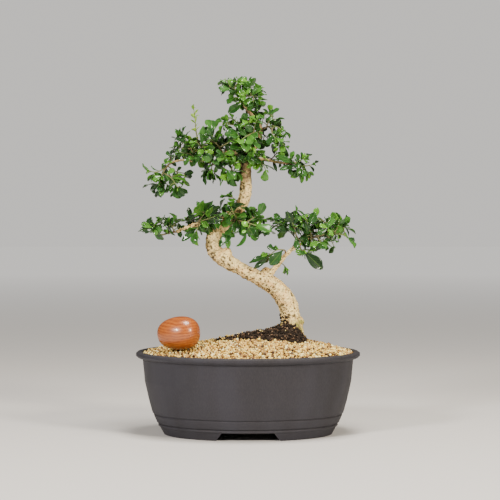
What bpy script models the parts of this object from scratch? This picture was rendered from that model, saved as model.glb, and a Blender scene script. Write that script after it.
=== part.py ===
"""Fukien tea bonsai in an oval training pot, with its gravel and a polished wooden egg.

Every size below is in millimetres, and MM turns it into metres when a mesh is made.
The origin is the middle of the pot's foot, X runs to the right along the pot's long side,
Y runs to the back and Z is up.
"""
import math
import random

import bmesh
import bpy
from mathutils import Matrix, Quaternion, Vector
from mathutils.bvhtree import BVHTree
from mathutils.geometry import delaunay_2d_cdt

MM = 0.001
GAP = 0.3

# Pot
POT_HALF_LENGTH = 160.0
POT_HEIGHT = 118.0
POT_OVAL = 0.75
POT_SIDES = 36
FLOOR_TOP = 18.0
FOOT_RECESS = 12.5
WALL_POINTS = [(120.0, 0.0), (126.2, 11.2), (128.4, 12.6), (128.2, 14.6), (126.4, 15.6), (130.0, 17.0),
               (134.6, 27.6), (133.0, 28.8), (136.2, 30.4), (141.0, 47.0), (147.4, 76.0), (150.2, 107.0)]
LIP_POINTS = [(156.5, 109.0), (POT_HALF_LENGTH, 112.0), (159.7, 115.6), (156.5, POT_HEIGHT), (151.5, 117.4)]
INSIDE_POINTS = [(147.0, 110.0), (141.5, 70.0), (133.0, 34.0), (122.0, FLOOR_TOP)]
FLOOR_RING = 40.0
FOOT_INSIDE = 108.0
FOOT_INSET = 6.0
NOTCH_BOTTOM = 89.0
NOTCH_TOP = 73.0
NOTCH_HEIGHT = 11.5
NOTCH_REACH = 62.0
DRAIN_RADIUS = 7.0
DRAIN_PLACES = (-62.0, 0.0, 62.0)

# Soil and gravel
SOIL_TOP = 104.0
GRAVEL_EDGE = 115.5
GRAVEL_CROWN = 20.0
GRAVEL_LEAN = 0.25
GRAVEL_OVAL = 150.0
SOIL_LEVELS = (FLOOR_TOP + GAP, 34.0, 70.0, SOIL_TOP)
GRAVEL_LEVELS = (GRAVEL_EDGE, 110.0, SOIL_TOP + GAP)
MOUND_ROOT = 6.0
MOUND_CUT = (SOIL_TOP - 4.0, GRAVEL_EDGE + 60.0)
PEBBLE_PITCH = 11.3
PEBBLE_RISE = 2.6
CHUNK_PITCH = 7.4
CHUNK_RISE = 3.0
# The dark mound against the trunk: along X, its half depth and the height of its ridge.
MOUND = [(-48.0, 3.0, 136.0), (-36.0, 8.0, 138.5), (-20.0, 13.0, 140.5), (0.0, 17.0, 146.5),
         (15.0, 20.0, 147.0), (28.0, 23.0, 150.0), (42.0, 26.0, 154.5), (52.0, 28.0, 161.5),
         (64.0, 29.0, 161.0), (71.0, 28.0, 155.5), (77.0, 24.0, 147.0), (82.0, 15.0, 138.0),
         (85.0, 5.0, 132.0)]
MOUND_FLATNESS = 3.0

# Egg
EGG_LENGTH = 60.0
EGG_THICKNESS = 46.8
EGG_FULLNESS = 0.72
EGG_BLUNT = 0.09
EGG_PLACE = (-97.5, -50.0)
EGG_TURN = -18.0
EGG_TILT = 4.0
EGG_START = 180.0

# Trunk: X, Y, Z and radius along its middle, from below the soil to its thin top
TRUNK = [(68, 0, 84, 14.8), (67, 0, 120, 14.8), (65, 0, 143, 14.6), (61, -1, 165, 14.0),
         (54, -3, 190, 13.6), (42, -4, 206, 13.2), (25, -5, 218, 12.0), (2, -6, 229, 9.6),
         (-17, -5, 239, 10.2), (-34, -3, 249, 11.0), (-47, 0, 261, 11.0), (-50, 3, 275, 10.6),
         (-43, 6, 290, 10.0), (-29, 8, 304, 9.6), (-15, 8, 318, 9.4), (-6, 6, 334, 9.2),
         (-3, 3, 352, 8.6), (-4, 0, 371, 8.4), (-2, -2, 391, 8.0), (8, 0, 409, 6.2),
         (16, 3, 427, 4.6), (15, 4, 442, 3.6), (5, 2, 454, 2.8), (-5, 0, 466, 2.2)]
TRUNK_SIDES = 9
TRUNK_STEP = 12.5
BARK_RISE = 0.8
PLANTED_POINTS = 5
LIMB_STEP = 18.0
LIMB_SIDES = 5
# Limbs that leave the trunk: radius at each end, then X, Y, Z
LIMBS = {
    "middle_left": (4.4, 1.9, [(-6, -1, 398), (-26, -6, 400), (-48, -8, 394), (-71, -4, 389), (-91, 2, 390),
                               (-106, 0, 388)]),
    "lower_left": (5.0, 2.0, [(-46, 4, 280), (-60, -2, 295), (-74, -6, 298), (-87, -6, 294),
                              (-100, -2, 289)]),
    "lower_right": (5.2, 2.3, [(27, -5, 221), (44, -10, 244), (58, -12, 260), (72, -8, 269), (85, -4, 277)]),
    "middle_right": (3.4, 1.7, [(-3, 0, 388), (20, 8, 391), (40, 6, 387), (57, 2, 385)]),
}
# Cut stubs and healed knobs on the trunk: centre and radius
KNOBS = [((25, -4, 232), 6.5), ((-30, -2, 258), 7.5), ((73, -3, 160), 7.5), ((-54, -3, 266), 5.5)]

# Foliage
BLADE_THICKNESS = 0.75
TWIG_RADIUS = 1.2
TIP_RADIUS = 0.9
TWIG_SIDES = 4
TURN_OF_LEAVES = 137.5
TRIES = 14
CLEARANCE = 1.5

BARK = (0.66, 0.50, 0.34)
TWIG_GREEN = (0.045, 0.11, 0.022)
YOUNG_GREEN = (0.22, 0.42, 0.05)

# Ways that a single leaf can face
FRONT = (0, -1, 0.25)
SKY = (0, -0.35, 1)
BETWEEN = (0, -0.8, 0.6)


def sprig(seed, stub, radius, lean, twigs, chosen):
    """One leafy spray: the length of its stem that the trunk keeps, the stem's radius, which way its
    leaves lean, its twigs as (points, leaf count, leaf lengths), and the leaves that are placed singly
    as (twig, share of the twig, tip, width, facing)."""
    return {"seed": seed, "stub": stub, "radius": radius, "lean": lean, "twigs": twigs, "chosen": chosen}


SPRAYS = {
    "spray_top": sprig(11, 5, 1.8, (0, 0, 0.0), [
        ([(-5, 0, 465), (-7, 0, 479), (-10, 2, 488), (-11, 0, 495)], 3, (16, 24)),
        ([(-8, 1, 482), (-17, -8, 489), (-25, -12, 493)], 2, (14, 22)),
        ([(-9, 1, 485), (0, 10, 490), (7, 14, 494)], 2, (14, 21)),
        ([(-7, 0, 479), (4, -10, 481), (14, -12, 480)], 2, (14, 23)),
        ([(-6, 0, 474), (6, 10, 473), (14, 14, 470)], 2, (14, 23)),
        ([(-6, 0, 475), (-13, -9, 478), (-20, -14, 479)], 2, (12, 20))],
        [(0, 0.9, (3, -6, 500), 9, FRONT),
         (3, 0.15, (20, -16, 487), 12, BETWEEN),
         (0, 0.06, (-26, -12, 456), 12, FRONT),
         (1, 0.55, (-36, -14, 496), 9, BETWEEN),
         (1, 0.9, (-39, -10, 505), 4, SKY),
         (1, 0.7, (-19, -6, 508), 5, FRONT),
         (2, 0.8, (5, 10, 509), 7, FRONT)]),
    "spray_crown_right": sprig(12, 6, 1.6, (0.1, 0, 0.05), [
        ([(17, 3, 433), (28, -4, 437), (38, -10, 438), (47, -12, 434)], 2, (14, 23)),
        ([(30, -5, 437), (38, 0, 427), (47, 6, 416), (53, 8, 409)], 3, (14, 23)),
        ([(26, -2, 436), (31, -2, 447), (40, 2, 448)], 2, (12, 20)),
        ([(34, -7, 437), (34, -16, 428), (39, -22, 420)], 2, (14, 22))],
        []),
    "spray_crown_left": sprig(13, 5, 1.5, (-0.1, 0, 0.1), [
        ([(10, 3, 450), (-7, -4, 442), (-23, -10, 440), (-37, -14, 444)], 3, (11, 18)),
        ([(-14, -7, 441), (-21, -10, 448), (-28, -14, 449)], 2, (10, 16)),
        ([(-3, -2, 444), (-7, -14, 432), (-14, -22, 424)], 3, (17, 27))],
        [(0, 0.2, (-6, -10, 455), 11, FRONT)]),
    "spray_crown_front": sprig(14, 6, 1.6, (0, -0.1, 0), [
        ([(16, 3, 431), (7, -14, 428), (-3, -24, 423), (-11, -28, 417)], 4, (17, 27)),
        ([(8, -12, 429), (6, -22, 418), (7, -28, 408)], 2, (16, 25))],
        [(0, 0.3, (-3, -22, 437), 11, FRONT)]),
    "spray_crown_back": sprig(15, 6, 1.6, (0, 0.1, 0.05), [
        ([(14, 4, 435), (9, 20, 433), (0, 32, 426), (-7, 38, 419)], 3, (17, 27)),
        ([(10, 16, 434), (19, 26, 429), (29, 32, 420)], 2, (16, 25))],
        []),
    "spray_left_upper": sprig(16, 6, 1.6, (0, 0, 0.15), [
        ([(-37, -7, 397), (-40, -12, 407), (-48, -14, 418), (-52, -14, 428)], 3, (18, 29)),
        ([(-40, -12, 408), (-27, -20, 415), (-17, -26, 421)], 3, (17, 26)),
        ([(-44, -13, 414), (-60, -8, 417), (-70, -6, 418)], 2, (14, 22))],
        [(0, 0.85, (-57, -20, 434), 12, FRONT)]),
    "spray_left_outer": sprig(17, 5, 1.5, (-0.15, 0, 0.1), [
        ([(-72, -3, 390), (-78, -8, 401), (-85, -10, 413), (-89, -8, 421)], 3, (14, 23)),
        ([(-77, -7, 399), (-66, -16, 407), (-58, -20, 414)], 3, (16, 25)),
        ([(-81, -9, 406), (-94, -4, 407), (-102, 2, 410)], 2, (13, 21)),
        ([(-75, -6, 396), (-86, -16, 400), (-96, -22, 401)], 2, (14, 23))],
        [(1, 0.6, (-63, -22, 438), 9, BETWEEN)]),
    "young_shoot": sprig(18, 5, 1.3, (0, 0, 0.7), [
        ([(-60, -5, 391), (-64, -2, 404), (-71, -4, 418), (-74, -6, 433), (-75, -6, 448),
          (-77, -6, 462)], 8, (8, 13))],
        []),
    "spray_left_under": sprig(19, 5, 1.4, (0, 0, -0.6), [
        ([(-48, -8, 394), (-50, -14, 386), (-52, -18, 377)], 3, (17, 27)),
        ([(-50, -15, 384), (-37, -17, 380), (-25, -18, 373)], 3, (17, 27))],
        []),
    "spray_left_back": sprig(20, 6, 1.6, (0, 0.1, 0.05), [
        ([(-28, -6, 400), (-34, 10, 406), (-46, 24, 407), (-60, 34, 403)], 4, (18, 29)),
        ([(-40, 17, 406), (-49, 26, 417), (-57, 32, 421)], 2, (17, 26)),
        ([(-33, 6, 404), (-20, 20, 410), (-12, 28, 416)], 2, (17, 26))],
        []),
    "spray_left_tip": sprig(21, 4, 1.6, (-0.1, 0, -0.2), [
        ([(-105, 0, 388), (-112, 0, 384), (-118, -4, 377), (-123, -8, 366), (-128, -8, 355)], 4, (14, 22)),
        ([(-116, -3, 379), (-130, -10, 373), (-140, -14, 375)], 2, (12, 18)),
        ([(-121, -6, 372), (-109, -14, 365), (-99, -18, 351)], 4, (16, 25)),
        ([(-115, -2, 382), (-103, 6, 374), (-91, 10, 371)], 2, (12, 20)),
        ([(-111, 0, 386), (-110, 10, 394), (-109, 16, 401)], 2, (14, 22))],
        [(3, 0.95, (-78, 6, 371), 8, FRONT),
         (0, 0.95, (-137, -12, 346), 8, FRONT)]),
    "spray_centre": sprig(22, 11, 1.5, (0, -0.1, 0.1), [
        ([(-1, -1, 390), (10, -16, 393), (20, -24, 396)], 4, (12, 18)),
        ([(13, -18, 394), (20, -20, 386), (25, -20, 376)], 2, (14, 22)),
        ([(8, -14, 392), (1, -22, 401), (-8, -28, 408)], 3, (17, 26))],
        []),
    "spray_right_tip": sprig(23, 4, 1.4, (0.1, 0, 0.05), [
        ([(56, 2, 385), (68, -2, 384), (78, -4, 379), (82, -4, 370)], 3, (12, 20)),
        ([(64, 0, 384), (75, 4, 390), (83, 6, 394)], 2, (11, 17)),
        ([(74, -3, 381), (85, 2, 382), (94, 6, 384)], 2, (8, 12))],
        [(0, 0.35, (39, -8, 394), 9, FRONT),
         (0, 0.5, (46, -14, 376), 9, BETWEEN)]),
    "spray_right_inner": sprig(24, 4, 1.3, (0, 0.1, 0), [
        ([(31, 7, 389), (36, 16, 394), (41, 22, 400)], 2, (14, 22))],
        [(0, 0.2, (40, 4, 374), 5, FRONT)]),
    "trunk_sprout": sprig(25, 10.5, 1.2, (-0.2, -0.1, 0), [
        ([(-6, 6, 332), (-17, -8, 333), (-24, -12, 339)], 2, (11, 17))],
        []),
    "spray_low_left_tip": sprig(26, 4, 1.7, (-0.1, 0, 0.15), [
        ([(-99, -2, 289), (-114, -2, 286), (-124, -4, 284), (-129, -8, 292), (-135, -10, 299)], 2, (13, 20)),
        ([(-111, -2, 286), (-117, 6, 295), (-123, 10, 302)], 2, (12, 18)),
        ([(-105, -2, 288), (-108, -8, 296), (-112, -12, 302)], 2, (16, 23))],
        [(0, 0.88, (-150, -18, 289), 14, FRONT),
         (0, 0.8, (-157, -4, 289), 3, SKY),
         (2, 0.3, (-118, -16, 307), 12, BETWEEN)]),
    "spray_low_left": sprig(27, 5, 1.7, (-0.05, -0.05, 0), [
        ([(-72, -6, 298), (-67, -14, 307), (-61, -18, 315)], 2, (20, 30)),
        ([(-70, -10, 302), (-57, -22, 307), (-45, -26, 311)], 2, (20, 30)),
        ([(-69, -11, 303), (-71, -18, 294), (-74, -22, 288)], 2, (16, 22))],
        [(0, 0.35, (-40, -20, 324), 14, BETWEEN),
         (1, 0.3, (-39, -34, 304), 13, FRONT),
         (2, 0.5, (-92, -20, 274), 9, FRONT),
         (2, 0.9, (-77, -26, 272), 11, FRONT)]),
    "spray_low_left_back": sprig(28, 5, 1.7, (-0.05, 0.1, 0.05), [
        ([(-61, -2, 296), (-66, 12, 303), (-75, 26, 305), (-86, 36, 304)], 4, (20, 31)),
        ([(-69, 17, 304), (-58, 28, 310), (-49, 36, 312)], 2, (19, 29))],
        []),
    "spray_low_centre": sprig(29, 12, 1.8, (0, -0.05, 0.05), [
        ([(-27, 8, 307), (-17, -14, 305), (-6, -26, 303), (8, -32, 299), (21, -30, 294)], 4, (20, 32)),
        ([(-16, -16, 305), (-20, -24, 315), (-24, -26, 325)], 2, (18, 27)),
        ([(-3, -27, 302), (8, -20, 308), (16, -16, 311)], 2, (17, 26)),
        ([(-17, -14, 305), (-25, -26, 296), (-30, -30, 287)], 2, (19, 29)),
        ([(3, -29, 300), (-1, -40, 291)], 2, (19, 29))],
        [(3, 0.7, (-39, -34, 268), 9, FRONT),
         (3, 0.9, (-28, -36, 266), 8, FRONT),
         (0, 0.97, (29, -34, 285), 10, FRONT),
         (2, 0.2, (21, -20, 307), 9, SKY)]),
    "spray_low_centre_back": sprig(30, 13, 1.8, (0, 0.1, 0.05), [
        ([(-33, 7, 300), (-23, 28, 301), (-9, 44, 300), (6, 54, 297)], 4, (20, 32)),
        ([(-25, 24, 301), (-35, 36, 309), (-41, 46, 315)], 2, (19, 29))],
        []),
    "spray_low_right_tip": sprig(31, 4, 1.9, (0.05, 0, 0.1), [
        ([(84, -4, 277), (99, -6, 282), (116, -6, 285), (134, -4, 284), (142, -2, 279)], 4, (16, 23)),
        ([(92, -5, 280), (86, -12, 294), (82, -14, 308)], 4, (16, 23)),
        ([(105, -6, 283), (111, 0, 295), (115, 2, 305)], 2, (13, 20)),
        ([(122, -6, 285), (128, -10, 297), (130, -12, 307)], 2, (12, 17)),
        ([(99, -6, 282), (102, -16, 275), (103, -20, 271)], 2, (16, 22)),
        ([(111, -6, 284), (118, 8, 276), (123, 14, 267)], 2, (12, 17))],
        [(0, 0.98, (151, -4, 274), 8, FRONT),
         (4, 0.7, (109, -26, 265), 11, FRONT)]),
    "spray_low_right_inner": sprig(32, 5, 1.6, (-0.05, -0.05, 0.05), [
        ([(74, -8, 270), (69, -14, 281), (65, -18, 294), (62, -18, 307)], 3, (16, 25)),
        ([(66, -17, 291), (54, -8, 292), (47, -4, 295)], 2, (14, 21))],
        [(0, 0.95, (33, -12, 307), 5, SKY),
         (0, 0.7, (55, -22, 316), 12, FRONT),
         (0, 0.55, (37, -16, 290), 8, FRONT),
         (0, 0.3, (69, -24, 263), 9, FRONT)]),
    "spray_low_right_back": sprig(33, 7, 1.7, (0, 0.1, 0.05), [
        ([(62, -11, 263), (68, 6, 272), (77, 22, 281), (89, 34, 289)], 4, (18, 27)),
        ([(71, 12, 274), (63, 26, 284), (56, 34, 289)], 2, (17, 26)),
        ([(83, 28, 285), (98, 36, 286), (111, 40, 285)], 2, (16, 23))],
        []),
    "spray_low_right_front": sprig(34, 5, 1.4, (0.1, -0.1, 0), [
        ([(72, -8, 269), (75, -18, 264), (78, -24, 262)], 2, (12, 17))],
        [(0, 0.9, (103, -31, 235), 17, FRONT)]),
    "spray_low_right_under": sprig(35, 5, 1.3, (-0.15, -0.1, -0.1), [
        ([(55, -12, 256), (51, -22, 263), (40, -26, 263), (31, -26, 256)], 2, (13, 20))],
        [(0, 0.3, (33, -33, 242), 17, FRONT),
         (0, 0.9, (2, -30, 244), 8, BETWEEN),
         (0, 0.97, (10, -26, 235), 8, FRONT)]),
}


def clear_scene():
    for old in list(bpy.data.objects):
        bpy.data.objects.remove(old)


def make_material(name, colour, roughness, metallic=0.0):
    material = bpy.data.materials.new(name)
    material.use_nodes = True
    shader = material.node_tree.nodes["Principled BSDF"]
    shader.inputs["Base Color"].default_value = (*colour, 1.0)
    shader.inputs["Roughness"].default_value = roughness
    shader.inputs["Metallic"].default_value = metallic
    return material


def make_object(name, points, faces, material=None, smooth_angle=None):
    mesh = bpy.data.meshes.new(name)
    mesh.from_pydata([Vector(p) * MM for p in points], [], faces)
    work = bmesh.new()
    work.from_mesh(mesh)
    bmesh.ops.recalc_face_normals(work, faces=work.faces)
    work.to_mesh(mesh)
    work.free()
    if material:
        mesh.materials.append(material)
    if smooth_angle:
        mesh.shade_smooth()
        mesh.set_sharp_from_angle(angle=math.radians(smooth_angle))
    thing = bpy.data.objects.new(name, mesh)
    bpy.context.scene.collection.objects.link(thing)
    return thing


def apply_modifiers(thing):
    bpy.context.view_layer.update()
    evaluated = thing.evaluated_get(bpy.context.evaluated_depsgraph_get())
    mesh = bpy.data.meshes.new_from_object(evaluated)
    thing.modifiers.clear()
    thing.data = mesh


def combine(thing, others, operation, solver="EXACT"):
    """Unite others with thing, or cut them from it, and remove them."""
    group = bpy.data.collections.new(thing.name + "_pieces")
    bpy.context.scene.collection.children.link(group)
    for other in others:
        group.objects.link(other)
    boolean = thing.modifiers.new("combine", "BOOLEAN")
    boolean.operation = operation
    boolean.operand_type = "COLLECTION"
    boolean.collection = group
    boolean.solver = solver
    apply_modifiers(thing)
    for other in others:
        bpy.data.objects.remove(other)
    bpy.data.collections.remove(group)


def stack_of_rings(rings, close_ends=True, split=False):
    """Faces that join equal rings of points into one tube; split ones are triangles, the same each time."""
    count = len(rings[0])
    points = [point for ring in rings for point in ring]
    faces = []
    for level in range(len(rings) - 1):
        for side in range(count):
            after = (side + 1) % count
            low = level * count
            if split:
                faces.append((low + side, low + after, low + count + after))
                faces.append((low + side, low + count + after, low + count + side))
            else:
                faces.append((low + side, low + after, low + count + after, low + count + side))
    if close_ends:
        faces.append(tuple(reversed(range(count))))
        faces.append(tuple(range(len(points) - count, len(points))))
    return points, faces


def oval(half_length, height, inset=0.0):
    """One ring of the pot: an ellipse, moved in by inset on both axes."""
    ring = []
    for side in range(POT_SIDES):
        angle = math.tau * side / POT_SIDES
        x = (half_length - inset) * math.cos(angle)
        y = (half_length * POT_OVAL - inset) * math.sin(angle)
        ring.append((x, y, height))
    return ring


def build_pot():
    material = make_material("pot_clay", (0.085, 0.078, 0.079), 0.62)
    rings = [oval(half, height) for half, height in WALL_POINTS + LIP_POINTS]
    rings += [oval(half, height) for half, height in INSIDE_POINTS]
    rings.append(oval(FLOOR_RING, FLOOR_TOP))
    points, faces = stack_of_rings(rings, close_ends=False)
    count = len(points)
    faces.append(tuple(range(count - POT_SIDES, count)))
    under = [oval(FOOT_INSIDE + FOOT_INSET, 0.0, FOOT_INSET),
             oval(FOOT_INSIDE + FOOT_INSET - 2.0, FOOT_RECESS, FOOT_INSET)]
    for ring in under:
        points += ring
    for side in range(POT_SIDES):
        after = (side + 1) % POT_SIDES
        faces.append((side, after, count + after, count + side))
        faces.append((count + side, count + after, count + POT_SIDES + after, count + POT_SIDES + side))
    faces.append(tuple(range(count + POT_SIDES, count + 2 * POT_SIDES)))
    pot = make_object("pot", points, faces, material)
    cutters = [foot_notch(-1), foot_notch(1)]
    cutters += [drain_hole(x) for x in DRAIN_PLACES]
    combine(pot, cutters, "DIFFERENCE")
    pot.data.shade_smooth()
    pot.data.set_sharp_from_angle(angle=math.radians(28))
    return pot


def foot_notch(side):
    """A trapezoid prism through the front or back of the foot ring."""
    near = side * (POT_HALF_LENGTH * POT_OVAL)
    far = side * NOTCH_REACH
    low = -2.0
    slope = (NOTCH_BOTTOM - NOTCH_TOP) / NOTCH_HEIGHT / 2
    bottom = NOTCH_BOTTOM / 2 - low * slope
    top = NOTCH_TOP / 2
    rings = []
    for y in (near, far):
        rings.append([(-bottom, y, low), (bottom, y, low), (top, y, NOTCH_HEIGHT), (-top, y, NOTCH_HEIGHT)])
    return make_object("notch_cutter", *stack_of_rings(rings))


def drain_hole(x):
    rings = []
    for z in (FOOT_RECESS - 3.0, FLOOR_TOP + 3.0):
        turns = [math.tau * k / 8 for k in range(8)]
        rings.append([(x + DRAIN_RADIUS * math.cos(a), DRAIN_RADIUS * math.sin(a), z) for a in turns])
    return make_object("drain_cutter", *stack_of_rings(rings))


def along(table, x, column):
    """Straight-line reading of one column of a table whose first column is X."""
    if x <= table[0][0]:
        return table[0][column]
    for before, after in zip(table, table[1:]):
        if x <= after[0]:
            share = (x - before[0]) / (after[0] - before[0])
            return before[column] + share * (after[column] - before[column])
    return table[-1][column]


def inside_half_length(height):
    """The pot's inner half length at a height."""
    table = sorted((z, half) for half, z in INSIDE_POINTS + [LIP_POINTS[-1]])
    return along(table, height, 1)


def gravel_height(x, y):
    """The crowned top of the gravel, a little higher toward the trunk's side."""
    reach = (x / GRAVEL_OVAL) ** 2 + (y / (GRAVEL_OVAL * POT_OVAL)) ** 2
    crown = GRAVEL_CROWN * (1.0 + GRAVEL_LEAN * x / GRAVEL_OVAL)
    return GRAVEL_EDGE + crown * max(0.0, 1.0 - reach)


def mound_height(x, y):
    edge = gravel_height(x, y) - 1.0
    ridge = along(MOUND, x, 2)
    across = min(1.0, abs(y) / along(MOUND, x, 1))
    return edge + max(0.0, ridge - edge) * (1.0 - across ** MOUND_FLATNESS)


def mound_outline(grow):
    """The mound's footprint, seen from above, grown by a margin."""
    front = []
    for x, depth, _ in MOUND:
        front.append((x, -depth - grow))
    front[0] = (front[0][0] - grow, front[0][1])
    front[-1] = (front[-1][0] + grow, front[-1][1])
    back = [(x, -y) for x, y in reversed(front)]
    return front + back


def inside_outline(x, y, outline):
    """Whether a point lies inside a closed outline, by counting the sides that it is under."""
    inside = False
    for (ax, ay), (bx, by) in zip(outline, outline[1:] + outline[:1]):
        if (ay > y) != (by > y) and x < ax + (y - ay) / (by - ay) * (bx - ax):
            inside = not inside
    return inside


def rough_slab(name, outline, pitch, height_at, rise, below, seed, material):
    """A slab whose top is a rough field of small peaks on a triangle grid inside an outline; its side
    goes down through the rings below, which have as many points as the outline."""
    draw = random.Random(seed)
    flat = [Vector(p) for p in outline]
    peaks = set()
    row = 0
    reach_x = max(abs(p[0]) for p in outline)
    reach_y = max(abs(p[1]) for p in outline)
    margin = [(x * (1 - 0.5 * pitch / reach_x), y * (1 - 0.5 * pitch / reach_y)) for x, y in outline]
    y = -reach_y
    while y < reach_y:
        column = 0
        x = -reach_x + (row % 2) * pitch / 2
        while x < reach_x:
            shift = Vector((draw.uniform(-1, 1), draw.uniform(-1, 1))) * pitch * 0.14
            spot = Vector((x, y)) + shift
            if inside_outline(spot.x, spot.y, margin):
                if (column - (row % 2) - row // 2 * 2) % 3 == 0:
                    peaks.add(len(flat))
                flat.append(spot)
            x += pitch
            column += 1
        y += pitch * math.sqrt(3) / 2
        row += 1
    edges = [(k, (k + 1) % len(outline)) for k in range(len(outline))]
    flat, _, triangles, *_ = delaunay_2d_cdt(flat, edges, [], 1, 1e-6)
    points = []
    for index, spot in enumerate(flat):
        height = height_at(spot.x, spot.y)
        if index in peaks:
            height += rise * draw.uniform(0.55, 1.0)
        elif index >= len(outline):
            height -= rise * draw.uniform(0.2, 0.6)
        points.append((spot.x, spot.y, height))
    faces = [tuple(triangle) for triangle in triangles]
    count = len(outline)
    upper = 0
    for ring in below:
        lower = len(points)
        points += ring
        for k in range(count):
            after = (k + 1) % count
            faces.append((upper + k, lower + k, lower + after, upper + after))
        upper = lower
    faces.append(tuple(range(upper, upper + count)))
    return make_object(name, points, faces, material)


def build_soil(trunk_hole):
    """The dark soil that fills the pot, with its mound and a plain hole for the trunk."""
    material = make_material("dark_soil", (0.065, 0.042, 0.028), 0.95)
    rings = [oval(inside_half_length(z), z, GAP) for z in SOIL_LEVELS]
    soil = make_object("soil", *stack_of_rings(rings), material)
    outline = mound_outline(0.0)
    root = [(x, y, SOIL_TOP - MOUND_ROOT) for x, y in outline]
    mound = rough_slab("mound", outline, CHUNK_PITCH, mound_height, CHUNK_RISE, [root], 5, None)
    combine(soil, [mound], "UNION")
    combine(soil, [trunk_hole], "DIFFERENCE")
    return soil


def build_gravel():
    """The layer of pebbles, open round the mound."""
    material = make_material("pale_gravel", (0.60, 0.42, 0.25), 0.8)
    rim, *below = [oval(inside_half_length(z), z, GAP) for z in GRAVEL_LEVELS]
    rim = [(x, y) for x, y, _ in rim]
    gravel = rough_slab("gravel", rim, PEBBLE_PITCH, gravel_height, PEBBLE_RISE, below, 8, material)
    outline = mound_outline(GAP)
    rings = [[(x, y, z) for x, y in outline] for z in MOUND_CUT]
    combine(gravel, [make_object("mound_cutter", *stack_of_rings(rings))], "DIFFERENCE")
    return gravel


def build_egg(gravel):
    """The polished wooden egg, a little blunter at its right end, let down onto the gravel."""
    material = make_material("polished_wood", (0.50, 0.18, 0.07), 0.22)
    rows = 10
    sides = 16
    rings = []
    for row in range(1, rows):
        turn = math.pi * row / rows
        x = -math.cos(turn) * EGG_LENGTH / 2
        blunt = 1.0 - EGG_BLUNT * math.cos(turn)
        radius = EGG_THICKNESS / 2 * math.sin(turn) ** EGG_FULLNESS * blunt
        turns = [math.tau * side / sides for side in range(sides)]
        rings.append([(x, radius * math.cos(a), radius * math.sin(a)) for a in turns])
    points, faces = stack_of_rings(rings, close_ends=False)
    for end, ring in ((-1, 0), (1, len(rings) - 1)):
        points.append((end * EGG_LENGTH / 2, 0.0, 0.0))
        for side in range(sides):
            faces.append((len(points) - 1, ring * sides + side, ring * sides + (side + 1) % sides))
    place = Matrix.Translation((*EGG_PLACE, EGG_START)) @ Matrix.Rotation(math.radians(EGG_TURN), 4, "Z")
    place = place @ Matrix.Rotation(math.radians(-EGG_TILT), 4, "Y")
    points = [place @ Vector(point) for point in points]
    drop = drop_onto(points, faces, gravel) - GAP
    points = [point - Vector((0.0, 0.0, drop)) for point in points]
    return make_object("wooden_egg", points, faces, material, 60)


def drop_onto(points, faces, ground):
    """How far a shape can sink before it touches the ground object."""
    shape = BVHTree.FromPolygons(points, faces)
    vertices = [vertex.co / MM for vertex in ground.data.vertices]
    floor = BVHTree.FromPolygons(vertices, [tuple(face.vertices) for face in ground.data.polygons])
    drops = []
    for point in points:
        hit = floor.ray_cast(point, Vector((0, 0, -1)))
        if hit[0]:
            drops.append(hit[3])
    for vertex in vertices:
        hit = shape.ray_cast(vertex, Vector((0, 0, 1)))
        if hit[0]:
            drops.append(hit[3])
    return min(drops)


def smooth_path(points, step):
    """Points at an even step on a smooth curve through the given ones; extra columns go along."""
    knots = [Vector(p[:3]) for p in points]
    widths = [p[3] if len(p) > 3 else 0.0 for p in points]
    knots = [knots[0] * 2 - knots[1]] + knots + [knots[-1] * 2 - knots[-2]]
    result = []
    for k in range(len(points) - 1):
        a, b, c, d = knots[k:k + 4]
        parts = max(1, round((c - b).length / step))
        for part in range(parts):
            t = part / parts
            bend = a * 2 - b * 5 + c * 4 - d
            spring = b * 3 - a - c * 3 + d
            spot = (b * 2 + (c - a) * t + bend * t ** 2 + spring * t ** 3) / 2
            result.append((spot, widths[k] + (widths[k + 1] - widths[k]) * t))
    result.append((knots[-2], widths[-1]))
    return result


def tube(path, radii, sides, grow=0.0, draw=None, rise=0.0):
    """Rings of points round a path, turned as little as possible from one to the next."""
    rings = []
    normal = None
    for k, spot in enumerate(path):
        before = path[max(0, k - 1)]
        after = path[min(len(path) - 1, k + 1)]
        heading = (after - before).normalized()
        if normal is None:
            normal = heading.orthogonal()
        normal = (normal - heading * normal.dot(heading)).normalized()
        sideways = heading.cross(normal)
        ring = []
        for side in range(sides):
            angle = math.tau * side / sides
            radius = radii[k] + grow
            if draw:
                radius += draw.uniform(-rise, rise)
            ring.append(spot + (normal * math.cos(angle) + sideways * math.sin(angle)) * radius)
        rings.append(ring)
    return stack_of_rings(rings, split=True)


def trunk_tube(points, grow):
    """The trunk's skin; the same draws give the same bark for the trunk and for its hole."""
    path = smooth_path(points, TRUNK_STEP)
    draw = random.Random(3)
    return tube([spot for spot, _ in path], [width for _, width in path], TRUNK_SIDES, grow, draw, BARK_RISE)


def build_trunk_hole():
    """The space that the planted end of the trunk takes in the soil, a gap wider all round."""
    points, faces = trunk_tube(TRUNK, GAP)
    path = smooth_path(TRUNK[:PLANTED_POINTS], TRUNK_STEP)
    count = len(path) * TRUNK_SIDES
    kept = [face for face in faces if max(face) < count]
    kept.append(tuple(range(count - TRUNK_SIDES, count)))
    points = points[:count]
    for side in range(TRUNK_SIDES):
        points[side] = points[side] - Vector((0, 0, GAP))
    return make_object("trunk_hole_cutter", points, kept)


def even_radii(path, first, last):
    """Radii that fall evenly along a path."""
    steps = len(path) - 1
    return [first + (last - first) * k / steps for k in range(len(path))]


def knob(centre, radius, seed):
    """A rounded, uneven knob of bark."""
    work = bmesh.new()
    bmesh.ops.create_icosphere(work, subdivisions=1, radius=radius)
    draw = random.Random(seed)
    points = [Vector(centre) + vertex.co * draw.uniform(0.92, 1.08) for vertex in work.verts]
    faces = [tuple(vertex.index for vertex in face.verts) for face in work.faces]
    work.free()
    return points, faces


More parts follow.
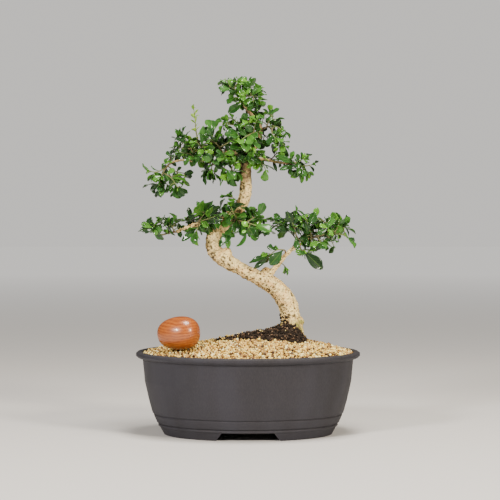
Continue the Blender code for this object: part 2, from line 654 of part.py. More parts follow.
def wood_skins():
    """The trunk and what it carries, limbs, knobs and the sprays' stubs, each as points and faces."""
    skins = [trunk_tube(TRUNK, 0.0)]
    for first, last, points in LIMBS.values():
        path = [spot for spot, _ in smooth_path(points, LIMB_STEP)]
        skins.append(tube(path, even_radii(path, first, last), LIMB_SIDES))
    for number, (centre, radius) in enumerate(KNOBS):
        skins.append(knob(centre, radius, number))
    for spray in SPRAYS.values():
        start, end, radius = stub_of(spray)
        skins.append(tube([start, end], [radius, radius], TWIG_SIDES))
    return skins


def build_trunk(skins):
    """Trunk, limbs, knobs and the short stubs that carry the sprays, as one solid."""
    trunk = make_object("trunk", *skins[0], make_material("pale_bark", BARK, 0.85), 50)
    combine(trunk, [make_object("limb", *skin) for skin in skins[1:]], "UNION")
    return trunk


def stub_of(spray):
    """Start, end and radius of the piece of a spray's stem that belongs to the trunk."""
    first, second = (Vector(p) for p in spray["twigs"][0][0][:2])
    return first, first + (second - first).normalized() * spray["stub"], spray["radius"]


def twig_paths(spray):
    """The axes of a spray's twigs; the first starts a gap beyond its stub."""
    paths = [[Vector(p) for p in twig[0]] for twig in spray["twigs"]]
    first, second = paths[0][:2]
    paths[0][0] = first + (second - first).normalized() * (spray["stub"] + GAP)
    return paths


def point_on(path, share):
    """The point and heading at a share of a path's length."""
    lengths = [(b - a).length for a, b in zip(path, path[1:])]
    left = share * sum(lengths)
    for a, b, length in zip(path, path[1:], lengths):
        if left <= length:
            break
        left -= length
    return a.lerp(b, min(1.0, left / length)), (b - a).normalized()


# Half of a leaf's outline, as share of the length and share of the half width, from the root that sinks
# into the twig to the tip: a large leaf ends in three teeth and a small one in two lobes.
LARGE_HALF = [(0.0, 0.0), (0.57, 1.0), (0.90, 0.76), (0.865, 0.36), (1.0, 0.0)]
SMALL_HALF = [(0.0, 0.0), (0.62, 1.0), (0.98, 0.52), (0.89, 0.0)]
LARGE_LEAF = 21.5


def mirrored(half):
    """A closed outline from its half: up the left side to the tip, and back down the right side."""
    left = [(share, -side) for share, side in half]
    right = [(share, side) for share, side in reversed(half[1:-1])]
    return left + right


LARGE_OUTLINE = mirrored(LARGE_HALF)
LARGE_TRIANGLES = [(0, 7, 1), (1, 3, 2), (7, 6, 5), (1, 7, 5), (1, 5, 3), (3, 5, 4)]
SMALL_OUTLINE = mirrored(SMALL_HALF)
SMALL_TRIANGLES = [(0, 5, 1), (1, 3, 2), (5, 4, 3), (1, 5, 3)]


def leaf_outline(length, width, arch):
    """Outline of a leaf as (along, across, bend) with its triangles, from the root to the toothed tip."""
    if length > LARGE_LEAF:
        outline, triangles = LARGE_OUTLINE, LARGE_TRIANGLES
    else:
        outline, triangles = SMALL_OUTLINE, SMALL_TRIANGLES
    points = []
    for share, half in outline:
        bend = arch * share
        reach = length * (math.sin(bend) / arch if arch else share)
        fall = length * ((1 - math.cos(bend)) / arch if arch else 0.0)
        normal = Vector((math.sin(bend), 0.0, math.cos(bend)))
        points.append((Vector((reach, half * width / 2, -fall)), normal))
    return points, triangles


def blade(leaf, thickness=BLADE_THICKNESS):
    """A closed thin solid for a leaf: the same triangles above and below, and a strip round its edge."""
    base, heading, facing, length, width, arch = leaf
    across = facing.cross(heading).normalized()
    upward = heading.cross(across)
    turn = Matrix((heading, across, upward)).transposed()
    outline, triangles = leaf_outline(length, width, arch)
    above = [base + turn @ (spot + normal * thickness / 2) for spot, normal in outline]
    below = [base + turn @ (spot - normal * thickness / 2) for spot, normal in outline]
    count = len(outline)
    faces = list(triangles)
    faces += [(c + count, b + count, a + count) for a, b, c in triangles]
    used = {(a, b) for face in triangles for a, b in zip(face, face[1:] + face[:1])}
    faces += [(b, a, a + count, b + count) for a, b in used if (b, a) not in used]
    return above + below, faces


def ruled_leaf(draw, path, share, turn, sizes, lean):
    """A leaf by the rule: it leaves its twig at the given turn and leans forward, up and outward."""
    base, forward = point_on(path, share)
    around = Quaternion(forward, turn) @ forward.orthogonal().normalized()
    wobble = Vector([draw.uniform(-1, 1) for _ in range(3)])
    heading = around * 0.75 + forward * (0.35 + 0.5 * share) + lean + wobble * 0.22
    heading.normalize()
    outward = Vector((base.x, base.y, 0.0)) / 110.0
    facing = Vector((0, 0, 1)) + outward * 0.9 + Vector([draw.uniform(-1, 1) for _ in range(3)]) * 0.55
    facing -= heading * facing.dot(heading)
    length = draw.uniform(*sizes)
    width = length * draw.uniform(0.58, 0.72)
    arch = draw.uniform(0.15, 0.75)
    return base, heading, facing.normalized(), length, width, arch


def chosen_leaf(path, share, tip, width, facing):
    """A leaf that the photograph shows clearly: from its twig to the given tip."""
    base, _ = point_on(path, share)
    heading = (Vector(tip) - base)
    length = heading.length
    arch = 0.3
    heading = (heading / length + Vector((0, 0, 0.12))).normalized()
    facing = Vector(facing)
    facing -= heading * facing.dot(heading)
    return base, heading, facing.normalized(), length * 1.02, width, arch


def tree_of(points, faces):
    return BVHTree.FromPolygons([Vector(p) for p in points], faces)


def grow_leaves(skins):
    """Leaves for every spray, each bent clear of the wood, of other sprays and, if it can be, of its own."""
    placed = [(tree_of(*skin), None, None, 0.0) for skin in skins]
    for name, spray in SPRAYS.items():
        for number, path in enumerate(twig_paths(spray)):
            radii = even_radii(path, spray["radius"] if number == 0 else TWIG_RADIUS, TIP_RADIUS)
            skin = tube(path, radii, TWIG_SIDES, CLEARANCE / 2)
            placed.append((tree_of(*skin), name, None, 0.0))
    result = {}
    for name, spray in SPRAYS.items():
        draw = random.Random(spray["seed"])
        paths = twig_paths(spray)
        leaves = []
        for number, share, tip, width, facing in spray["chosen"]:
            leaves.append(chosen_leaf(paths[number], share, tip, width, facing))
        for leaf in leaves:
            placed.append((tree_of(*blade(leaf)), name, leaf[0], leaf[3]))
        lean = Vector(spray["lean"])
        for path, (_, count, sizes) in zip(paths, spray["twigs"]):
            turn = draw.uniform(0, math.tau)
            for k in range(count):
                share = 1.0 - 0.72 * k / max(1, count) - 0.02
                turn += math.radians(TURN_OF_LEAVES)
                best = None
                for attempt in range(TRIES):
                    leaf = ruled_leaf(draw, path, share, turn + attempt * 0.6, sizes, lean)
                    foreign, own = crossings(leaf, name, placed)
                    if foreign:
                        continue
                    if best is None or own < best[0]:
                        best = (own, leaf)
                    if own == 0:
                        break
                if best:
                    leaves.append(best[1])
                    placed.append((tree_of(*blade(best[1])), name, best[1][0], best[1][3]))
        result[name] = leaves
    return result


def crossings(leaf, name, placed):
    """How many foreign pieces and how many leaves of its own spray a leaf would cross."""
    thin = tree_of(*blade(leaf))
    thick = tree_of(*blade(leaf, BLADE_THICKNESS + CLEARANCE))
    foreign = own = 0
    for tree, owner, base, reach in placed:
        if base is not None and (base - leaf[0]).length > reach + leaf[3] + 3.0:
            continue
        if owner == name:
            if base is not None and thin.overlap(tree):
                own += 1
        elif thick.overlap(tree):
            foreign += 1
    return foreign, own


def build_spray(name, spray, leaves, material):
    paths = twig_paths(spray)
    pieces = []
    for number, path in enumerate(paths):
        radii = even_radii(path, spray["radius"] if number == 0 else TWIG_RADIUS, TIP_RADIUS)
        pieces.append(make_object("twig", *tube(path, radii, TWIG_SIDES)))
    for leaf in leaves:
        pieces.append(make_object("leaf", *blade(leaf)))
    stem = pieces.pop(0)
    stem.name = name
    stem.data.materials.append(material)
    combine(stem, pieces, "UNION", "MANIFOLD")
    return stem


def main():
    clear_scene()
    skins = wood_skins()
    build_trunk(skins)
    build_pot()
    build_soil(build_trunk_hole())
    build_egg(build_gravel())
    leaves = grow_leaves(skins)
    green = make_material("leaf_green", TWIG_GREEN, 0.35)
    young = make_material("young_green", YOUNG_GREEN, 0.4)
    for name, data in SPRAYS.items():
        build_spray(name, data, leaves[name], young if name == "young_shoot" else green)


main()
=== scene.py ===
# Fukien tea bonsai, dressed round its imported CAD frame: pot, soil, pebbles, bark, leaves and a wooden egg.
# Lengths are in millimetres, and mm turns them into metres where a mesh is made.
import math
import random

import bmesh
import bpy
import numpy as np
from mathutils import Matrix, Quaternion, Vector, noise
from mathutils.bvhtree import BVHTree


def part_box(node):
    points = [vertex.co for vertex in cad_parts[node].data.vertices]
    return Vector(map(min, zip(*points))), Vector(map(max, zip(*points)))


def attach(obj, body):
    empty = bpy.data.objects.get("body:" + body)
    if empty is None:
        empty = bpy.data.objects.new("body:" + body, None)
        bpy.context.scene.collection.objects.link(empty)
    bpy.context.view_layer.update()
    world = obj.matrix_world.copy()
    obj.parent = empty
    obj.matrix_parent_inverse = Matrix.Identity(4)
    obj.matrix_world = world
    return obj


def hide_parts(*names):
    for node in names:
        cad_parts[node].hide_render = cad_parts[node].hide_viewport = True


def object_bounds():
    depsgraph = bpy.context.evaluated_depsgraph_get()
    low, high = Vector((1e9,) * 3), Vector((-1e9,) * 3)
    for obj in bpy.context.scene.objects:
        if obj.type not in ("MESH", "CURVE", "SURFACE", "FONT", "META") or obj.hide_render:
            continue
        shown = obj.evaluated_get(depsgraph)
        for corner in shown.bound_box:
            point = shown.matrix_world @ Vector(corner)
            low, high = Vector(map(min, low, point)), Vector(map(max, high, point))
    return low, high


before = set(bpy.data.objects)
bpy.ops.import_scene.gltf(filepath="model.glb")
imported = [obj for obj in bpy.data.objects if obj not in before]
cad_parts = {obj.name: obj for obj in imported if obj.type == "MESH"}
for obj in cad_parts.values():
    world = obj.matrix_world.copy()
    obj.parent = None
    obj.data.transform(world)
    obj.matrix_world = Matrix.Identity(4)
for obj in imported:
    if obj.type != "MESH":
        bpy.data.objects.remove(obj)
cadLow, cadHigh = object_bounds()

mm = 0.001
gap = 0.3
print("frame loaded:", len(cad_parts), "nodes")


# Small tools for numbers and meshes

def limit(value, low=0.0, high=1.0):
    return min(high, max(low, value))


def meshPiece(name, points, faces, materials=(), slot=None, replaced=()):
    mesh = bpy.data.meshes.new(name)
    mesh.from_pydata((np.asarray(points, float) * mm).tolist(), [], faces)
    for material in materials:
        mesh.materials.append(material)
    mesh.shade_smooth()
    mesh.update()
    piece = bpy.data.objects.new(name, mesh)
    bpy.context.scene.collection.objects.link(piece)
    if slot:
        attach(piece, "root")
    if replaced:
        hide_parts(*replaced)
    return piece


def faceOutward(piece):
    work = bmesh.new()
    work.from_mesh(piece.data)
    bmesh.ops.recalc_face_normals(work, faces=work.faces)
    work.to_mesh(piece.data)
    work.free()


def bakeModifiers(piece):
    bpy.context.view_layer.update()
    evaluated = piece.evaluated_get(bpy.context.evaluated_depsgraph_get())
    mesh = bpy.data.meshes.new_from_object(evaluated)
    piece.modifiers.clear()
    piece.data = mesh


def cutAway(piece, cutters):
    group = bpy.data.collections.new("cutters")
    bpy.context.scene.collection.children.link(group)
    for cutter in cutters:
        group.objects.link(cutter)
    boolean = piece.modifiers.new("cut", "BOOLEAN")
    boolean.operation = "DIFFERENCE"
    boolean.operand_type = "COLLECTION"
    boolean.collection = group
    boolean.solver = "EXACT"
    bakeModifiers(piece)
    for cutter in cutters:
        bpy.data.objects.remove(cutter)
    bpy.data.collections.remove(group)


def loftFaces(rows, sides, ends=True):
    faces = []
    for row in range(rows - 1):
        for side in range(sides):
            after = (side + 1) % sides
            low = row * sides
            faces.append((low + side, low + after, low + sides + after, low + sides + side))
    if ends:
        faces.append(tuple(reversed(range(sides))))
        faces.append(tuple(range((rows - 1) * sides, rows * sides)))
    return faces


def closedGrid(rows, columns):
    # the faces of two like grids of points, one behind the other, closed round their edge
    count = rows * columns
    faces = []
    for row in range(rows - 1):
        for column in range(columns - 1):
            a = row * columns + column
            faces.append((a, a + 1, a + columns + 1, a + columns))
    faces += [tuple(count + k for k in reversed(face)) for face in faces]
    edge = list(range(columns)) + [row * columns + columns - 1 for row in range(1, rows)]
    edge += list(reversed(range((rows - 1) * columns, rows * columns - 1)))
    edge += [row * columns for row in reversed(range(1, rows - 1))]
    return faces + [(b, a, a + count, b + count) for a, b in zip(edge, edge[1:] + edge[:1])]


def joinShells(shells):
    # several shells, each as (points, faces), become one
    points, faces = [], []
    start = 0
    for shell, sides in shells:
        points.append(np.array(shell, float))
        faces += [tuple(k + start for k in side) for side in sides]
        start += len(shell)
    return np.concatenate(points), faces


def pointValues(piece, name, values):
    layer = piece.data.attributes.new(name, "FLOAT", "POINT")
    layer.data.foreach_set("value", np.asarray(values, np.float32))


# Tools for shaders: an input is fed a value or another node's output

def feed(tree, made, feeds):
    for key, value in feeds.items():
        if isinstance(value, bpy.types.NodeSocket):
            tree.links.new(value, made.inputs[key])
        else:
            made.inputs[key].default_value = value


def node(tree, kind, feeds=None, **settings):
    made = tree.nodes.new("ShaderNode" + kind)
    for key, value in settings.items():
        setattr(made, key, value)
    feed(tree, made, feeds or {})
    return made


def opaque(colour):
    return colour if isinstance(colour, bpy.types.NodeSocket) else (*colour, 1.0)


def mixColours(tree, share, first, second):
    feeds = {0: share, 6: opaque(first), 7: opaque(second)}
    return node(tree, "Mix", feeds, data_type="RGBA").outputs[2]


def ramp(tree, share, stops):
    made = node(tree, "ValToRGB", {"Fac": share})
    band = made.color_ramp
    while len(band.elements) < len(stops):
        band.elements.new(0.5)
    for element, (place, colour) in zip(band.elements, stops):
        element.position = place
        element.color = opaque(colour)
    return made.outputs["Color"]


def remap(tree, value, low, high, toLow=0.0, toHigh=1.0):
    feeds = {"Value": value, "From Min": low, "From Max": high, "To Min": toLow, "To Max": toHigh}
    return node(tree, "MapRange", feeds).outputs["Result"]


def calc(tree, operation, first, second=0.0):
    return node(tree, "Math", {0: first, 1: second}, operation=operation).outputs[0]


def plus(tree, first, second):
    return calc(tree, "ADD", first, second)


def times(tree, first, second):
    return calc(tree, "MULTIPLY", first, second)


def noiseAt(tree, place, scale, detail, distortion=0.0):
    feeds = {"Vector": place, "Scale": scale, "Detail": detail, "Distortion": distortion}
    return node(tree, "TexNoise", feeds).outputs["Fac"]


def attribute(tree, name):
    return node(tree, "Attribute", attribute_name=name).outputs["Fac"]


def newGroup(name, inputs, outputs):
    group = bpy.data.node_groups.new(name, "ShaderNodeTree")
    for label, value in inputs:
        socket = group.interface.new_socket(label, in_out="INPUT", socket_type="NodeSocketFloat")
        socket.default_value = value
    for label in outputs:
        group.interface.new_socket(label, in_out="OUTPUT", socket_type="NodeSocketFloat")
    entry = group.nodes.new("NodeGroupInput")
    leave = group.nodes.new("NodeGroupOutput")
    return group, entry.outputs, leave.inputs


def useGroup(tree, group, feeds):
    made = tree.nodes.new("ShaderNodeGroup")
    made.node_tree = group
    feed(tree, made, feeds)
    return made.outputs


def buildSpeckle():
    # broad patches, fine grains and a height for bump, all in object space
    group, given, out = newGroup(
        "speckle",
        [("Patch Scale", 40.0), ("Grain Scale", 400.0), ("Stretch", 1.0), ("Low", 0.4), ("High", 0.6)],
        ["Patches", "Grains", "Spots", "Height"])
    place = node(group, "TexCoord").outputs["Object"]
    squeeze = node(group, "CombineXYZ", {"X": 1.0, "Y": 1.0, "Z": given["Stretch"]}).outputs[0]
    place = node(group, "VectorMath", {0: place, 1: squeeze}, operation="MULTIPLY").outputs[0]
    patches = noiseAt(group, place, given["Patch Scale"], 4.0)
    grains = noiseAt(group, place, given["Grain Scale"], 3.0)
    group.links.new(patches, out["Patches"])
    group.links.new(grains, out["Grains"])
    group.links.new(remap(group, grains, given["Low"], given["High"]), out["Spots"])
    group.links.new(plus(group, times(group, patches, 0.6), grains), out["Height"])
    return group


def buildDust():
    # how much dust has settled: more where a surface faces up, broken by noise
    group, given, out = newGroup("settledDust", [("Amount", 0.5), ("Scale", 90.0)], ["Mask"])
    normal = node(group, "NewGeometry").outputs["Normal"]
    up = node(group, "SeparateXYZ", {0: normal}).outputs["Z"]
    place = node(group, "TexCoord").outputs["Object"]
    broken = noiseAt(group, place, given["Scale"], 5.0)
    share = times(group, remap(group, up, 0.2, 1.0), remap(group, broken, 0.35, 0.7))
    group.links.new(times(group, share, given["Amount"]), out["Mask"])
    return group


speckle = buildSpeckle()
settledDust = buildDust()


def specks(tree, patchScale, grainScale, low=0.4, high=0.6, stretch=1.0):
    return useGroup(tree, speckle, {"Patch Scale": patchScale, "Grain Scale": grainScale,
                                    "Low": low, "High": high, "Stretch": stretch})


def dustMask(tree, amount, scale):
    return useGroup(tree, settledDust, {"Amount": amount, "Scale": scale})["Mask"]


def newMaterial(name, **values):
    material = bpy.data.materials.new(name)
    material.use_nodes = True
    shader = material.node_tree.nodes["Principled BSDF"]
    for key, value in values.items():
        shader.inputs[key.replace("_", " ")].default_value = value
    return material, material.node_tree, shader


def wire(tree, shader, colour, roughness=None, height=None, bump=0.3, depth=0.0005):
    tree.links.new(colour, shader.inputs["Base Color"])
    if roughness is not None:
        tree.links.new(roughness, shader.inputs["Roughness"])
    if height is not None:
        relief = node(tree, "Bump", {"Height": height, "Strength": bump, "Distance": depth})
        tree.links.new(relief.outputs["Normal"], shader.inputs["Normal"])


# The pot. Its wall and underside are rings as (half length, height)

pot = {
    "oval": 0.75, "sides": 192, "rounding": 0.9, "sharpFrom": 32.0,
    "wall": [(120.0, 0.0), (126.2, 11.2), (128.4, 12.6), (128.2, 14.6), (126.4, 15.6), (130.0, 17.0),
             (134.6, 27.6), (133.0, 28.8), (136.2, 30.4), (141.0, 47.0), (147.4, 76.0), (150.2, 107.0),
             (156.5, 109.0), (160.0, 112.0), (159.7, 115.6), (156.5, 118.0), (151.5, 117.4),
             (147.0, 110.0), (141.5, 70.0), (133.0, 34.0), (122.0, 18.0), (40.0, 18.0)],
    "underside": [(111.5, 12.5), (113.5, 0.6), (114.5, 0.0)], "underInset": 6.0,
    "floor": 18.0, "recess": 12.5, "drains": (-62.0, 0.0, 62.0), "drainRadius": 7.0, "drainSides": 28,
    "notchBottom": 89.0, "notchTop": 73.0, "notchHeight": 11.5, "notchFrom": 62.0, "notchTo": 125.0,
    # how far the cutters of the notches and drain holes stand out
    "notchSpare": 2.0, "drainSpare": 3.0,
    "grey": (0.034, 0.033, 0.041), "brown": (0.027, 0.025, 0.028), "fleck": (0.055, 0.052, 0.055),
    "dust": (0.072, 0.064, 0.058),
}


def potMaterial():
    material, tree, shader = newMaterial("potClay", Specular_IOR_Level=0.14)
    fine = specks(tree, 22.0, 900.0, 0.42, 0.62, 0.25)
    base = mixColours(tree, remap(tree, fine["Patches"], 0.35, 0.7), pot["grey"], pot["brown"])
    base = mixColours(tree, remap(tree, fine["Spots"], 0.0, 1.0, 0.0, 0.22), base, pot["fleck"])
    base = mixColours(tree, dustMask(tree, 0.45, 120.0), base, pot["dust"])
    rough = remap(tree, fine["Patches"], 0.3, 0.75, 0.48, 0.64)
    wire(tree, shader, base, rough, fine["Height"], 0.12, 0.0003)
    return material


def rounded(profile, reach):
    # each corner of a line of points becomes a short curve
    found = [profile[0]]
    for before, corner, after in zip(profile, profile[1:], profile[2:]):
        a, b, c = (np.array(p, float) for p in (before, corner, after))
        first = b + (a - b) * min(reach / np.linalg.norm(a - b), 0.4)
        last = b + (c - b) * min(reach / np.linalg.norm(c - b), 0.4)
        for t in (0.0, 0.33, 0.67, 1.0):
            found.append(tuple((1 - t) ** 2 * first + 2 * t * (1 - t) * b + t * t * last))
    found.append(profile[-1])
    return found


def ovalRing(half, height, inset=0.0, sides=pot["sides"]):
    turns = np.arange(sides) * math.tau / sides
    x = (half - inset) * np.cos(turns)
    y = (half * pot["oval"] - inset) * np.sin(turns)
    return np.stack([x, y, np.full(sides, height)], axis=1)


def notchCutter(side):
    # the foot's notch is wider at the bottom
    low, high = -pot["notchSpare"], pot["notchHeight"]
    slope = (pot["notchBottom"] - pot["notchTop"]) / high / 2
    wide = pot["notchBottom"] / 2 - low * slope
    top = pot["notchTop"] / 2
    points = []
    for y in (side * pot["notchTo"], side * pot["notchFrom"]):
        points += [(-wide, y, low), (wide, y, low), (top, y, high), (-top, y, high)]
    return meshPiece("notch", points, loftFaces(2, 4))


def drainCutter(x):
    turns = np.arange(pot["drainSides"]) * math.tau / pot["drainSides"]
    ring = np.stack([x + pot["drainRadius"] * np.cos(turns), pot["drainRadius"] * np.sin(turns)], axis=1)
    heights = (pot["recess"] - pot["drainSpare"], pot["floor"] + pot["drainSpare"])
    return meshPiece("drain", [(*p, z) for z in heights for p in ring], loftFaces(2, pot["drainSides"]))


def makePot():
    rings = [ovalRing(half, height, pot["underInset"]) for half, height in pot["underside"]]
    rings += [ovalRing(half, height) for half, height in rounded(pot["wall"], pot["rounding"])]
    piece = meshPiece("potShell", np.concatenate(rings), loftFaces(len(rings), pot["sides"]), [potMaterial()],
                      slot="pot_clay", replaced=["pot"])
    faceOutward(piece)
    cutters = [notchCutter(side) for side in (-1, 1)] + [drainCutter(x) for x in pot["drains"]]
    for cutter in cutters:
        faceOutward(cutter)
    cutAway(piece, cutters)
    piece.data.shade_smooth()
    piece.data.set_sharp_from_angle(angle=math.radians(pot["sharpFrom"]))
    print("pot done")


makePot()


# Soil and gravel. A grid is its half length, half width, pitch and how far its points stray. Shapes of
# stones are how many, their corners, how rough, and a seed. Layers are (lift, share of the stones kept).

ground = {
    "soilTop": 104.0, "edge": 115.5, "crown": 20.0, "lean": 0.25, "ovalLength": 150.0,
    # the pot's inside as (height, half length), the soil's levels and its sides
    "inner": [(18.0, 122.0), (34.0, 133.0), (70.0, 141.5), (110.0, 147.0), (117.4, 151.5)],
    "levels": (18.3, 34.0, 70.0, 104.0), "sides": 96,
    # the dark mound against the trunk: x, half its depth, height of its ridge
    "mound": [(-48.0, 3.0, 136.0), (-36.0, 8.0, 138.5), (-20.0, 13.0, 140.5), (0.0, 17.0, 146.5),
              (15.0, 20.0, 147.0), (28.0, 23.0, 150.0), (42.0, 26.0, 154.5), (52.0, 28.0, 161.5),
              (64.0, 29.0, 161.0), (71.0, 28.0, 155.5), (77.0, 24.0, 147.0), (82.0, 15.0, 138.0),
              (85.0, 5.0, 132.0)],
    "flatness": 3.0, "core": (60, 24), "coreTone": 0.2,
    "pebbleSeed": 21, "pebbleGrid": (150.0, 112.0, 4.3, 1.7), "pebbleShapes": (18, 13, 0.28, 4),
    "pebbleLayers": ((-1.2, 1.0), (0.5, 0.5)), "pebbleOval": (148.6, 111.2), "pebbleSize": (1.6, 3.6),
    # under is how much painted shade darkens each stone below its middle
    "pebbleTone": (0.59, 0.26), "darkShare": 0.09, "darkTone": (0.04, 0.24), "under": 0.30,
    # stones on the mound: their share on its low end and elsewhere
    "strayGrid": (150.0, 30.0, 5.5, 2.5), "straySize": (1.0, 2.4), "lowEnd": -4.0,
    "lowShare": 0.6, "highShare": 0.10,
    # the bed under the pebbles: rings, half length, depth below them, then its shoulder and foot, and its
    # tone, a dark painted shade seen in the gaps between the pebbles
    "bedRings": 22, "bedHalf": 147.5, "bedDepth": 3.2, "bedShoulder": (146.6, 110.0), "bedFoot": 145.9,
    "bedShade": 0.10,
    "chunkSeed": 22, "chunkGrid": (150.0, 32.0, 4.3, 1.3), "chunkShapes": (12, 11, 0.42, 5),
    "chunkLayers": ((-2.2, 1.0), (-0.6, 0.45)), "chunkSize": (1.9, 4.2), "chunkDarkness": 2.2,
    "steepPitch": 3.6, "steepTop": 0.8,
    # crumbs that cling to the trunk's foot, along a line and at a distance from it
    "crumbs": 60, "crumbSize": (1.0, 2.6), "crumbLine": ((65, 0, 143), (61, -1, 165)), "crumbReach": 14.6,
    "crumbTurns": (170.0, 262.0), "crumbRise": (156.0, 172.0),
    "tones": [(0.0, (0.030, 0.016, 0.008)), (0.10, (0.14, 0.058, 0.02)), (0.20, (0.33, 0.17, 0.045)),
              (0.38, (0.58, 0.34, 0.080)), (0.56, (0.76, 0.50, 0.11)), (0.74, (0.89, 0.66, 0.17)),
              (0.88, (0.95, 0.79, 0.30)), (1.0, (0.97, 0.88, 0.48))],
    "soilTones": [(0.0, (0.010, 0.007, 0.005)), (0.45, (0.036, 0.022, 0.014)), (0.8, (0.11, 0.065, 0.038)),
                  (1.0, (0.26, 0.17, 0.10))],
    "pebbleFleck": (0.24, 0.13, 0.07), "soilDust": (0.17, 0.115, 0.07),
}


def reading(table, x, column):
    if x <= table[0][0]:
        return table[0][column]
    for before, after in zip(table, table[1:]):
        if x <= after[0]:
            share = (x - before[0]) / (after[0] - before[0])
            return before[column] + share * (after[column] - before[column])
    return table[-1][column]


def gravelHeight(x, y):
    reach = (x / ground["ovalLength"]) ** 2 + (y / (ground["ovalLength"] * pot["oval"])) ** 2
    crown = ground["crown"] * (1.0 + ground["lean"] * x / ground["ovalLength"])
    return ground["edge"] + crown * max(0.0, 1.0 - reach)


def moundHeight(x, y):
    edge = gravelHeight(x, y) - 1.0
    ridge = reading(ground["mound"], x, 2)
    across = min(1.0, abs(y) / reading(ground["mound"], x, 1))
    return edge + max(0.0, ridge - edge) * (1.0 - across ** ground["flatness"])


def onMound(x, y, grow=0.0):
    first, last = ground["mound"][0], ground["mound"][-1]
    return first[0] - grow < x < last[0] + grow and abs(y) < reading(ground["mound"], x, 1) + grow


def stoneShapes(count, corners, rough, seed):
    draw = random.Random(seed)
    shapes = []
    for _ in range(count):
        work = bmesh.new()
        for _ in range(corners):
            spot = Vector([draw.gauss(0, 1) for _ in range(3)]).normalized()
            work.verts.new(spot * draw.uniform(1.0 - rough, 1.0))
        hull = bmesh.ops.convex_hull(work, input=work.verts)
        spare = {v for v in hull["geom_interior"] + hull["geom_unused"] if isinstance(v, bmesh.types.BMVert)}
        bmesh.ops.delete(work, geom=list(spare), context="VERTS")
        bmesh.ops.recalc_face_normals(work, faces=work.faces)
        work.verts.index_update()
        points = np.array([v.co for v in work.verts])
        faces = np.array([[v.index for v in face.verts] for face in work.faces])
        work.free()
        shapes.append((points, faces))
    return shapes


def anyTurn(draw):
    return Quaternion([draw.gauss(0, 1) for _ in range(4)]).normalized()


def strew(shapes, places):
    # one mesh of many stones: places are (centre, sizes, turn, tone), and a stone is darker below its middle,
    # a painted shade where the stones shadow each other
    points, faces, tones = [], [], []
    start = 0
    for number, (centre, sizes, turn, tone) in enumerate(places):
        shape, sides = shapes[number % len(shapes)]
        spun = np.array(turn.to_matrix()) * np.array(sizes)
        points.append(shape @ spun.T + np.array(centre))
        faces.append(sides + start)
        sunk = np.clip(-points[-1][:, 2] + centre[2], 0.0, None) / sizes[0]
        tones.append(np.clip(tone - ground["under"] * sunk, 0.0, 1.0))
        start += len(shape)
    return np.concatenate(points), np.concatenate(faces).tolist(), np.concatenate(tones)


def hexGrid(draw, halfX, halfY, pitch, jitter):
    row = 0
    y = -halfY
    while y <= halfY:
        x = -halfX + (row % 2) * pitch / 2
        while x <= halfX:
            yield x + draw.uniform(-1, 1) * jitter, y + draw.uniform(-1, 1) * jitter
            x += pitch
        y += pitch * math.sqrt(3) / 2
        row += 1


def pebbleMaterial():
    material, tree, shader = newMaterial("pebble")
    fine = specks(tree, 260.0, 1300.0, 0.5, 0.68)
    shade = plus(tree, attribute(tree, "tone"), remap(tree, fine["Patches"], 0.3, 0.7, -0.07, 0.07))
    base = ramp(tree, shade, ground["tones"])
    base = mixColours(tree, remap(tree, fine["Spots"], 0.0, 1.0, 0.0, 0.35), base, ground["pebbleFleck"])
    wire(tree, shader, base, remap(tree, fine["Patches"], 0.3, 0.7, 0.45, 0.75), fine["Height"], 0.35, 0.0004)
    return material


def soilMaterial():
    material, tree, shader = newMaterial("soilChunk", Roughness=0.92, Specular_IOR_Level=0.25)
    fine = specks(tree, 300.0, 1500.0, 0.45, 0.6)
    shade = plus(tree, attribute(tree, "tone"), remap(tree, fine["Grains"], 0.3, 0.7, -0.18, 0.18))
    base = ramp(tree, shade, ground["soilTones"])
    base = mixColours(tree, dustMask(tree, 0.35, 300.0), base, ground["soilDust"])
    wire(tree, shader, base, None, fine["Height"], 0.8, 0.0008)
    return material


def gravelPlaces():
    draw = random.Random(ground["pebbleSeed"])
    halfX, halfY = ground["pebbleOval"]
    eggX, eggY, eggZ = egg["centre"]
    places = []
    for layer, (lift, keep) in enumerate(ground["pebbleLayers"]):
        for x, y in hexGrid(draw, *ground["pebbleGrid"]):
            kept = draw.random() < keep
            size = draw.uniform(*ground["pebbleSize"])
            flat = draw.uniform(0.55, 0.95)
            turn = anyTurn(draw)
            rise = draw.uniform(-1.2, 0.9)
            tone = limit(draw.gauss(*ground["pebbleTone"]))
            if draw.random() < ground["darkShare"]:
                tone = draw.uniform(*ground["darkTone"])
            if not kept or (x / halfX) ** 2 + (y / halfY) ** 2 > 1.0 or onMound(x, y, -1.0):
                continue
            z = gravelHeight(x, y) + lift + rise
            under = eggBottom(x - eggX, y - eggY)
            if under is not None:
                if layer:
                    continue
                z = min(z, eggZ + under - size - 0.05)
            places.append(((x, y, z), (size, size * draw.uniform(0.8, 1.0), size * flat), turn, tone))
    for x, y in hexGrid(draw, *ground["strayGrid"]):
        size = draw.uniform(*ground["straySize"])
        share = ground["highShare"] if x > ground["lowEnd"] else ground["lowShare"]
        if onMound(x, y, -1.0) and draw.random() < share:
            places.append(((x, y, moundHeight(x, y) + 0.4), (size, size, size * 0.8), anyTurn(draw),
                           draw.uniform(0.3, 0.95)))
    return places


